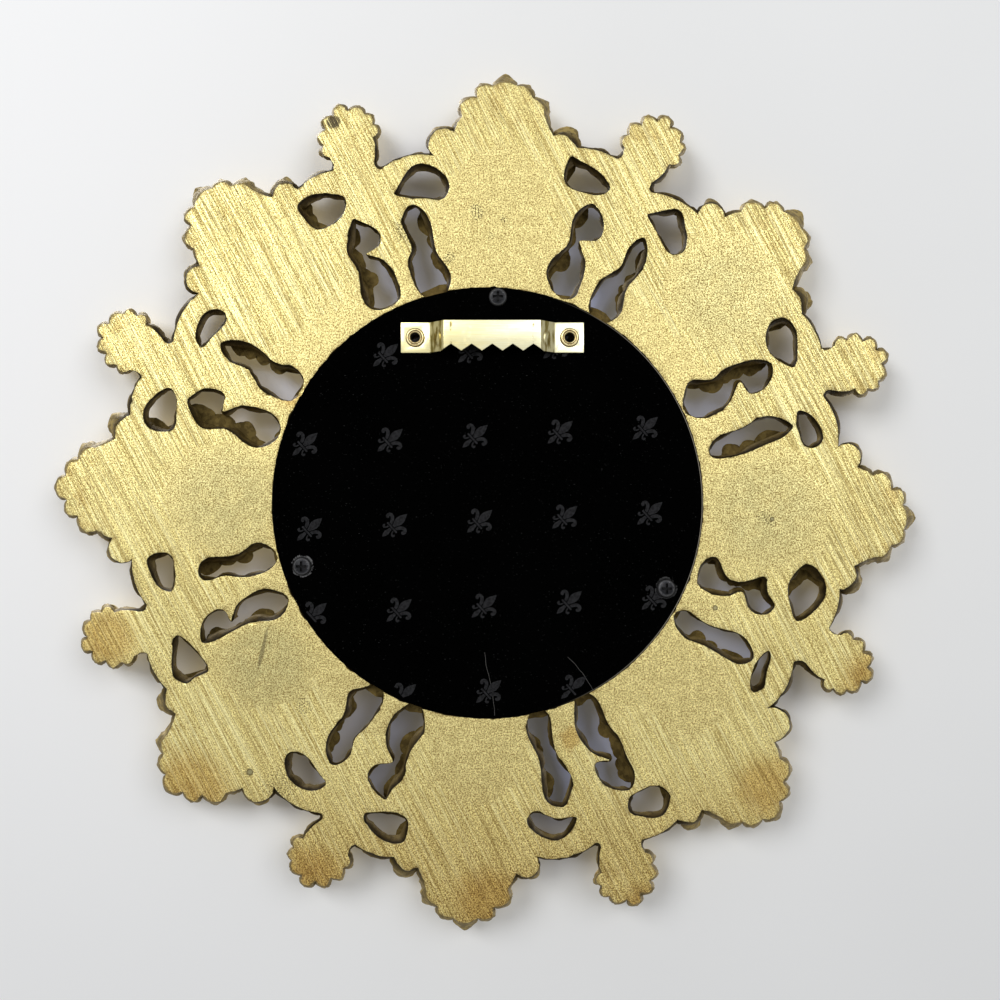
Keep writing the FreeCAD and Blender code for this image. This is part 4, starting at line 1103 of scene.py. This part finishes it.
def scallops(rows, turned, lifted):
    """Notches and crowns in turn, as shares, shifted for one sector."""
    points = []
    for notch_turn, notch_reach, crown_turn, crown_reach in rows:
        points.append((notch_turn + turned, notch_reach + lifted))
        points.append((crown_turn + turned, crown_reach + lifted))
    return points


def leaf_edge(sector):
    """A leaf's notches and crowns in turn, from notch to notch."""
    turned, lifted, heel_lifted = SECTOR_SHIFT_SHARES[sector][:3]
    edge = scallops(LEAF_EDGE_SHARES, turned, lifted)
    edge[0] = (edge[0][0], LEAF_EDGE_SHARES[0][1] + heel_lifted)
    return edge + [(LEAF_EDGE_END_SHARES[0] + turned, LEAF_EDGE_END_SHARES[1])]


def palmette_edge(sector):
    """A palmette's notches and crowns in turn, from notch to notch."""
    turned, lifted = SECTOR_SHIFT_SHARES[sector][3:]
    end_turn, end_reach = PALMETTE_EDGE_END_SHARES
    return scallops(PALMETTE_EDGE_SHARES, turned, lifted) + [(end_turn + turned, end_reach + lifted)]


def carved_fan(name, sector, ring, axis, spine, crest, flute, foot=8.5 * MM, lean=0.5, curl=0.0):
    """A fluted relief from a scalloped ring of turn and reach shares up to a spine.

    ring runs notch, crown, notch, crown; axis is the spine's turn, and spine gives the
    reach of its low and high end.
    """
    low_reach, high_reach = spine
    samples, levels = 10, 16
    rise = 1.9 * MM  # of the rounded edge above the foot
    reaches = [reach for _, reach in ring]
    floor, roof = min(reaches), max(reaches)
    columns = []
    closed = ring + ring[:1]
    for index in range(0, len(ring), 2):
        start, crown, end = closed[index:index + 3]
        for step in range(samples):
            s = step / samples
            bulge = 4 * s * (1 - s)
            turn, reach = (
                (1 - s) * a + s * b + (c - (a + b) / 2) * bulge
                for a, b, c in zip(start, end, crown)
            )
            columns.append((s, turn, reach, index // 2))
    mesh = bmesh.new()
    layer = mesh.verts.layers.float.new("hollow")
    rings = []
    for level in range(levels + 1):
        u = (level / levels) ** 1.35
        circle = []
        for s, turn, reach, lobe in columns:
            share = (reach - floor) / (roof - floor)
            spine_reach = low_reach + (high_reach - low_reach) * share
            spine_turn = axis + (turn - axis) * 0.05
            bend_turn = axis + (turn - axis) * 0.52
            bend_reach = spine_reach + (reach - spine_reach) * lean + 0.035
            blend = ((1 - u) ** 2, 2 * u * (1 - u), u ** 2)
            here_turn = sum(w * t for w, t in zip(blend, (turn, bend_turn, spine_turn)))
            here_reach = sum(w * r for w, r in zip(blend, (reach, bend_reach, spine_reach)))
            edge_round = math.sqrt(1 - (1 - min(u / 0.10, 1.0)) ** 2)
            side = abs(2 * s - 1)
            depth = foot + rise * edge_round
            depth += (crest - foot - rise) * math.sin(u * math.pi / 2) ** 1.15
            depth += 0.35 * flute * (1 - side ** 2) * (1 - u) * edge_round
            valley = side ** 3.2 * (1 - u) ** 0.75 * smoothstep(0.0, 0.05, u)
            depth -= flute * valley * 0.95
            vein = math.exp(-((s - 0.5) / 0.085) ** 2)
            vein *= smoothstep(0.10, 0.26, u) * (1 - smoothstep(0.72, 0.95, u))
            depth -= 0.45 * MM * vein
            curled = smoothstep(0.80, 1.0, share) * (1 - u)
            depth += curl * curled * math.sin(math.pi * min(u * 2.2, 1.0))
            place = spot(sector, here_turn, here_reach, 0.0)
            depth += 0.16 * MM * noise.noise(place * 300.0) * edge_round
            place.y = -max(depth, foot)
            vertex = mesh.verts.new(place)
            vertex[layer] = min(1.0, 0.95 * valley + 0.55 * vein + 0.8 * (1 - edge_round))
            circle.append(vertex)
        rings.append(circle)
    join_rings(mesh, rings)
    rims = [e for e in mesh.edges if len(e.link_faces) == 1]
    ends = [[e for e in rims if e.verts[0] in set(circle)] for circle in (rings[0], rings[-1])]
    for edges in ends:
        bmesh.ops.triangle_fill(mesh, use_beauty=True, edges=edges)
    bmesh.ops.recalc_face_normals(mesh, faces=mesh.faces)
    return new_piece(name, mesh)


def leaf_ring(sector, shrink=1.0, centre_reach=0.42):
    """A leaf's scalloped edge as shares, drawn in towards its middle."""
    axis = SECTOR_SHIFT_SHARES[sector][0]
    ring = leaf_edge(sector) + [(turn + axis, reach) for turn, reach in LEAF_HEM_SHARES]
    narrow, low = 0.972 * shrink, 0.985 * shrink
    return [
        (axis + (turn - axis) * narrow, centre_reach + (reach - centre_reach) * low)
        for turn, reach in ring
    ]


def palmette_ring(sector):
    """The turn of a palmette's stem, and the edge of both as shares."""
    turned = SECTOR_SHIFT_SHARES[sector][3]
    ring = palmette_edge(sector) + [(turn + turned, reach) for turn, reach in STEM_HEM_SHARES]
    axis = STEM_AXIS_SHARE + turned
    return axis, [
        (axis + (turn - axis) * 0.965, 0.45 + (reach - 0.45) * 0.985) for turn, reach in ring
    ]


def carve(name, mesh_maker, *values, **options):
    """A carved piece of the gilt frame."""
    gold = bpy.data.materials.get("antique_gold") or antique_gold_material()
    return finish_piece(mesh_maker(name, *values, **options), "gilt_casting", gold, "frame")


def string_of_beads(name, places, radii):
    """Low half-buried beads at given places."""
    mesh = bmesh.new()
    layer = mesh.verts.layers.float.new("hollow")
    for place, radius in zip(places, radii):
        made = bmesh.ops.create_uvsphere(
            mesh, u_segments=8, v_segments=5, radius=radius,
            matrix=Matrix.Translation(place) @ Matrix.Rotation(math.pi / 2, 4, "X"),
        )["verts"]
        for vertex in made:
            vertex[layer] = smoothstep(0.1, -0.7, (place.y - vertex.co.y) / radius)
    return new_piece(name, mesh)


class MIRROR_OT_leaves(bpy.types.Operator):
    """Carves the eight large leaves, with a small leaf laid on each"""
    bl_idname = "mirror.leaves"
    bl_label = "Leaves"

    def execute(self, context):
        carving = settings("mirror_carving")
        for sector in range(SECTORS):
            axis = SECTOR_SHIFT_SHARES[sector][0]
            carve(
                f"leaf_{sector + 1}", carved_fan, sector, leaf_ring(sector), axis, (0.12, 0.80),
                carving.leaf_crest, carving.flute_depth, curl=1.6 * MM,
            )
            carve(
                f"overleaf_{sector + 1}", carved_fan, sector, leaf_ring(sector, 0.56, 0.36), axis,
                (0.16, 0.56), carving.overleaf_crest, carving.flute_depth * 0.62, foot=11.6 * MM,
            )
            places, radii = [], []
            for step in range(9):
                share = step / 8
                places.append(spot(sector, axis, 0.20 + 0.40 * share, 16.95 * MM))
                radii.append((1.02 - 0.42 * share) * MM)
            carve(f"midrib_beads_{sector + 1}", string_of_beads, places, radii)
        return {"FINISHED"}


class MIRROR_OT_palmettes(bpy.types.Operator):
    """Carves the eight palmettes and their stems"""
    bl_idname = "mirror.palmettes"
    bl_label = "Palmettes"

    def execute(self, context):
        carving = settings("mirror_carving")
        for sector in range(SECTORS):
            axis, ring = palmette_ring(sector)
            carve(
                f"palmette_{sector + 1}", carved_fan, sector, ring, axis, (0.04, 0.90),
                carving.palmette_crest, carving.flute_depth * 0.8, lean=0.35,
            )
        return {"FINISHED"}


class MIRROR_OT_ring(bpy.types.Operator):
    """Turns the round moulding, with its gadroons and its row of beads"""
    bl_idname = "mirror.ring"
    bl_label = "Round Moulding"

    def execute(self, context):
        carving = settings("mirror_carving")
        inner, outer = 1000 * SIGHT_RADIUS, 1000 * RING_RADIUS
        pocket = 1000 * GLASS_RADIUS + 1.0
        crest = 1000 * carving.ring_crest
        # Radius and depth in millimetres, then how dark the hollow is
        profile = (
            (inner, 8.6, 1.0), (inner, 11.4, 0.4), (inner + 0.7, 12.1, 0.2), (inner + 1.6, 12.3, 0.7),
            (inner + 2.8, 12.3, 0.9), (inner + 3.6, 12.6, 0.5), (inner + 4.2, 13.4, 0.1),
            (inner + 5.0, crest - 1.9, 0.0), (inner + 6.4, crest - 0.7, 0.0), (inner + 8.0, crest, 0.0),
            (inner + 9.8, crest - 0.3, 0.0), (inner + 11.4, crest - 1.3, 0.0),
            (inner + 12.6, crest - 2.7, 0.1), (inner + 13.4, crest - 4.2, 0.6),
            (inner + 14.2, crest - 4.7, 0.9), (inner + 15.4, crest - 4.5, 0.3),
            (inner + 16.6, crest - 5.1, 0.2), (outer - 0.5, 10.4, 0.4), (outer, 9.2, 0.8),
            (outer, 7.6, 1.0), (pocket, 7.6, 1.0), (pocket, 8.6, 1.0),
        )
        mesh = bmesh.new()
        layer = mesh.verts.layers.float.new("hollow")
        turns, gadroons = 576, 72
        belly, half_belly = 8.4, 5.2  # where the gadroons lie, in millimetres from the opening
        rings = []
        for radius, depth, hollow in profile:
            circle = []
            from_middle = radius - inner - belly
            middle = max(0.0, 1.0 - abs(from_middle) / half_belly)
            for step in range(turns):
                angle = math.tau * step / turns
                lobe = abs(math.sin(gadroons * angle / 2 + from_middle * 0.22)) ** 0.55
                sunk = 1.15 * (1.0 - lobe) * min(1.0, middle * 2.2)
                vertex = mesh.verts.new(around(angle, radius * MM, (depth - sunk) * MM))
                vertex[layer] = min(1.0, hollow + sunk * 0.8)
                circle.append(vertex)
            rings.append(circle)
        join_rings(mesh, rings + rings[:1])
        bmesh.ops.recalc_face_normals(mesh, faces=mesh.faces)
        piece = carve("ring_moulding", new_piece, mesh)
        smooth_by_angle(piece, 50)
        radius, beads = (inner + 2.2) * MM, carving.bead_count
        places = [around(math.tau * (step + 0.5) / beads, radius, 12.6 * MM) for step in range(beads)]
        carve("ring_beads", string_of_beads, places, [1.25 * MM] * beads)
        return {"FINISHED"}


# Back panel and hardware

# Right half of a plain lily, in shares of its height: middle petal, side petal, foot,
# curl beside the foot, and band
LILY_PETAL_SHARES = (
    (0.000, 0.500), (0.055, 0.405), (0.105, 0.300), (0.118, 0.200), (0.095, 0.110), (0.055, 0.035),
    (0.040, -0.020),
)
LILY_SIDE_SHARES = (
    (0.065, -0.020), (0.085, 0.060), (0.135, 0.140), (0.205, 0.195), (0.290, 0.205), (0.355, 0.165),
    (0.382, 0.095), (0.362, 0.030), (0.315, 0.000), (0.268, 0.020), (0.262, 0.068), (0.290, 0.090),
    (0.262, 0.112), (0.218, 0.085), (0.180, 0.035), (0.150, -0.020),
)
LILY_FOOT_SHARES = (
    (0.040, -0.115), (0.052, -0.200), (0.072, -0.270), (0.050, -0.360), (0.000, -0.440),
)
LILY_CURL_SHARES = (
    (0.075, -0.115), (0.100, -0.190), (0.150, -0.245), (0.215, -0.235), (0.235, -0.180), (0.205, -0.140),
    (0.178, -0.160), (0.160, -0.190), (0.130, -0.165), (0.118, -0.115),
)
LILY_BAND_SHARES = ((0.185, -0.040), (0.200, -0.067), (0.185, -0.095))
LILY_TURN = math.radians(48)
INK_LIFT = 0.015 * MM
PRINT_MARGIN = 0.6 * MM


def lily_outlines():
    """Closed outlines of one upright lily, in shares of its height."""
    def mirrored(points):
        return [(-x, y) for x, y in reversed(points)]

    return [
        [*LILY_PETAL_SHARES, *mirrored(LILY_PETAL_SHARES[1:])],
        [*LILY_FOOT_SHARES, *mirrored(LILY_FOOT_SHARES[:-1])],
        [*LILY_BAND_SHARES, *mirrored(LILY_BAND_SHARES)],
        LILY_SIDE_SHARES, LILY_CURL_SHARES,
        mirrored(LILY_SIDE_SHARES), mirrored(LILY_CURL_SHARES),
    ]


class MIRROR_OT_sheet(bpy.types.Operator):
    """Prints the black sheet with small lilies and lays a few fibres on it"""
    bl_idname = "mirror.sheet"
    bl_label = "Printed Sheet"

    def execute(self, context):
        back = settings("mirror_back")
        dress_node("back_sheet", sheet_material())
        mesh = bmesh.new()
        level = PANEL_HIGH.y + INK_LIFT
        across = Vector((-1.0, 0.0, 0.047)) * back.motif_pitch
        down = Vector((-0.053, 0.0, -1.0)) * back.motif_pitch
        middle = Vector((3.0, 0.0, -6.6)) * MM
        turn = Matrix.Rotation(LILY_TURN, 3, "Y").inverted()
        for row in range(-3, 4):
            for column in range(-3, 4):
                centre = middle + across * column + down * row
                for outline in lily_outlines():
                    corners = []
                    for x, y in outline:
                        point = centre + turn @ Vector((-x, 0.0, y)) * back.motif_height
                        corners.append(Vector((point.x, level, point.z)))
                    if max(math.hypot(c.x, c.z) for c in corners) < PANEL_RADIUS - PRINT_MARGIN:
                        mesh.faces.new([mesh.verts.new(c) for c in corners])
        face_the_wall(mesh)
        finish_piece(new_piece("sheet_print", mesh), "black_sheet", print_material())
        self.lay_lint(level)
        return {"FINISHED"}

    def lay_lint(self, level):
        """Thin fibres lying on the sheet."""
        half_width = 0.06 * MM
        fibres = (
            ((1.0, -52.0), (0.0, -59.0), (-2.0, -66.0), (-2.5, -74.0)),
            ((-28.0, -53.5), (-33.0, -59.0), (-37.5, -66.5)),
        )
        mesh = bmesh.new()
        for fibre in fibres:
            ends = [Vector((x * MM, level, z * MM)) for x, z in fibre]
            points = []
            for start, end in zip(ends, ends[1:]):
                points += [start.lerp(end, step / 6) for step in range(6)]
            points.append(ends[-1])
            left, right = [], []
            for index, point in enumerate(points):
                along = points[min(index + 1, len(points) - 1)] - points[max(index - 1, 0)]
                side = Vector((-along.z, 0.0, along.x)).normalized()
                wave = side * (0.35 * MM * noise.noise(point * 260.0))
                left.append(mesh.verts.new(point + wave + side * half_width))
                right.append(mesh.verts.new(point + wave - side * half_width))
            for index in range(len(points) - 1):
                mesh.faces.new((left[index], left[index + 1], right[index + 1], right[index]))
        face_the_wall(mesh)
        finish_piece(new_piece("sheet_lint", mesh), "black_sheet", lint_material())


class MIRROR_OT_hanger(bpy.types.Operator):
    """Rounds the sawtooth hanger's edges and gives it its finish"""
    bl_idname = "mirror.hanger"
    bl_label = "Sawtooth Hanger"

    def execute(self, context):
        piece = bpy.data.objects.new("sawtooth_hanger", frame["nodes"]["hanger_plate"].data.copy())
        context.scene.collection.objects.link(piece)
        drop_custom_normals(piece.data)
        make_active(piece)
        bpy.ops.object.mode_set(mode="EDIT")
        bpy.ops.mesh.select_all(action="SELECT")
        bpy.ops.mesh.remove_doubles(threshold=MERGE)
        bpy.ops.mesh.dissolve_limited(angle_limit=math.radians(0.5))
        bpy.ops.object.mode_set(mode="OBJECT")
        bevel = piece.modifiers.new("soft edges", "BEVEL")
        bevel.width = 0.14 * MM
        bevel.segments = 2
        bevel.limit_method = "ANGLE"
        bevel.angle_limit = math.radians(35)
        bpy.ops.object.modifier_apply(modifier=bevel.name)
        smooth_by_angle(piece, 40)
        finish_piece(piece, "pale_brass", brass_material(), "hanger_plate")
        return {"FINISHED"}


class MIRROR_OT_hardware(bpy.types.Operator):
    """Gives rivets, washers and screws their finishes"""
    bl_idname = "mirror.hardware"
    bl_label = "Rivets and Screws"

    def execute(self, context):
        rivets, washers, screws = rivet_material(), washer_material(), screw_material()
        for name in RIVETS:
            dress_node(name, rivets)
            dress_node(name.replace("rivet", "rivet_washer"), washers)
        for name in SCREWS:
            dress_node(name, screws)
        return {"FINISHED"}


class MIRROR_OT_glass(bpy.types.Operator):
    """Gives the mirror glass and the layers behind it their finishes"""
    bl_idname = "mirror.glass"
    bl_label = "Glass and Layers"

    def execute(self, context):
        dress_node("mirror_glass", mirror_material())
        dress_node("silver_coat", silvering_material())
        dress_node("cushion_pad", cushion_material())
        dress_node("back_board", fibreboard_material())
        return {"FINISHED"}


# Stage

CAMERA_ACROSS, CAMERA_UP = -4.35 * MM, 1.04 * MM
LAMPS = (
    # name, place in metres, power in watts, side in metres
    ("key_lamp", (0.62, 1.02, 0.52), 8.1, 0.55),
    ("right_lamp", (-0.56, 1.06, 0.44), 5.5, 0.70),
    ("front_lamp_high", (0.65, -1.10, 0.80), 16.0, 0.60),
    ("front_lamp_low", (-0.80, -1.00, -0.10), 7.0, 0.90),
)


class MIRROR_OT_stage(bpy.types.Operator):
    """Sets the table, the lamps, the pale surroundings and the camera"""
    bl_idname = "mirror.stage"
    bl_label = "Table, Lamps and Camera"

    def execute(self, context):
        studio = settings("mirror_studio")
        clear_selection()
        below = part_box("frame")[0].y - 0.4 * MM
        bpy.ops.mesh.primitive_plane_add(
            size=1.1, location=(0.0, below, 0.0), rotation=(-math.pi / 2, 0.0, 0.0),
        )
        table = context.object
        table.name = "table"
        bpy.ops.object.transform_apply(location=True, rotation=True, scale=True)
        table.data.materials.append(table_material())
        for name, place, power, side in LAMPS:
            lamp = bpy.data.lights.new(name, "AREA")
            lamp.energy = power
            lamp.size = side
            stand = bpy.data.objects.new(name, lamp)
            stand.location = place
            stand.rotation_euler = (-Vector(place)).to_track_quat("-Z", "Y").to_euler()
            context.scene.collection.objects.link(stand)
        self.pale_world(context)
        lens = bpy.data.cameras.new("photo_camera")
        lens.sensor_width = 36.0
        lens.lens = studio.camera_lens
        camera = bpy.data.objects.new("photo_camera", lens)
        camera.matrix_world = Matrix((
            (-1.0, 0.0, 0.0, CAMERA_ACROSS),
            (0.0, 0.0, 1.0, studio.camera_distance),
            (0.0, 1.0, 0.0, CAMERA_UP),
            (0.0, 0.0, 0.0, 1.0),
        ))
        context.scene.collection.objects.link(camera)
        context.scene.camera = camera
        context.scene.view_settings.view_transform = "Standard"
        return {"FINISHED"}

    def pale_world(self, context):
        """Pale grey to the camera and in reflections, softer as light."""
        world = bpy.data.worlds.new("pale_room")
        context.scene.world = world
        world.use_nodes = True
        tree = world.node_tree
        tree.nodes.clear()
        soft, shown = (
            add(tree, "ShaderNodeBackground", {"Color": (*tone, 1.0), "Strength": strength})
            for tone, strength in (((0.97, 0.98, 1.0), 0.29), ((0.80, 0.805, 0.82), 0.90))
        )
        mixed = add(tree, "ShaderNodeMixShader", {0: seen_directly(tree), 1: soft, 2: shown})
        add(tree, "ShaderNodeOutputWorld", {"Surface": mixed})


class MIRROR_PT_panel(bpy.types.Panel):
    """Lists the mirror's builders and their values"""
    bl_idname = "MIRROR_PT_panel"
    bl_label = "Wall Mirror"
    bl_space_type = "VIEW_3D"
    bl_region_type = "UI"
    bl_category = "Mirror"

    def draw(self, context):
        for group, operators in PANEL_ROWS:
            box = self.layout.box()
            for operator in operators:
                box.operator(operator.bl_idname)
            values = getattr(context.scene, group)
            for field in values.bl_rna.properties.keys():
                if field not in ("rna_type", "name"):
                    box.prop(values, field)


GROUPS = (
    ("mirror_casting", CastingSettings),
    ("mirror_carving", CarvingSettings),
    ("mirror_back", BackSettings),
    ("mirror_studio", StudioSettings),
)
PANEL_ROWS = (
    ("mirror_carving", (MIRROR_OT_leaves, MIRROR_OT_palmettes, MIRROR_OT_ring)),
    ("mirror_casting", (MIRROR_OT_casting,)),
    ("mirror_back", (MIRROR_OT_sheet, MIRROR_OT_hanger, MIRROR_OT_hardware, MIRROR_OT_glass)),
    ("mirror_studio", (MIRROR_OT_stage,)),
)
OPERATORS = tuple(operator for _, operators in PANEL_ROWS for operator in operators)


def register():
    """Registers the values, the operators and the panel."""
    for name, group in GROUPS:
        bpy.utils.register_class(group)
        setattr(bpy.types.Scene, name, PointerProperty(type=group))
    for operator in (*OPERATORS, MIRROR_PT_panel):
        bpy.utils.register_class(operator)


def unregister():
    """Takes back what register did."""
    for operator in reversed((*OPERATORS, MIRROR_PT_panel)):
        bpy.utils.unregister_class(operator)
    for name, group in reversed(GROUPS):
        delattr(bpy.types.Scene, name)
        bpy.utils.unregister_class(group)


def main():
    register()
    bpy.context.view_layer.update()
    bpy.ops.mirror.leaves()
    bpy.ops.mirror.palmettes()
    bpy.ops.mirror.ring()
    bpy.ops.mirror.casting()
    bpy.ops.mirror.sheet()
    bpy.ops.mirror.hanger()
    bpy.ops.mirror.hardware()
    bpy.ops.mirror.glass()
    bpy.ops.mirror.stage()


if __name__ == "__main__":
    main()
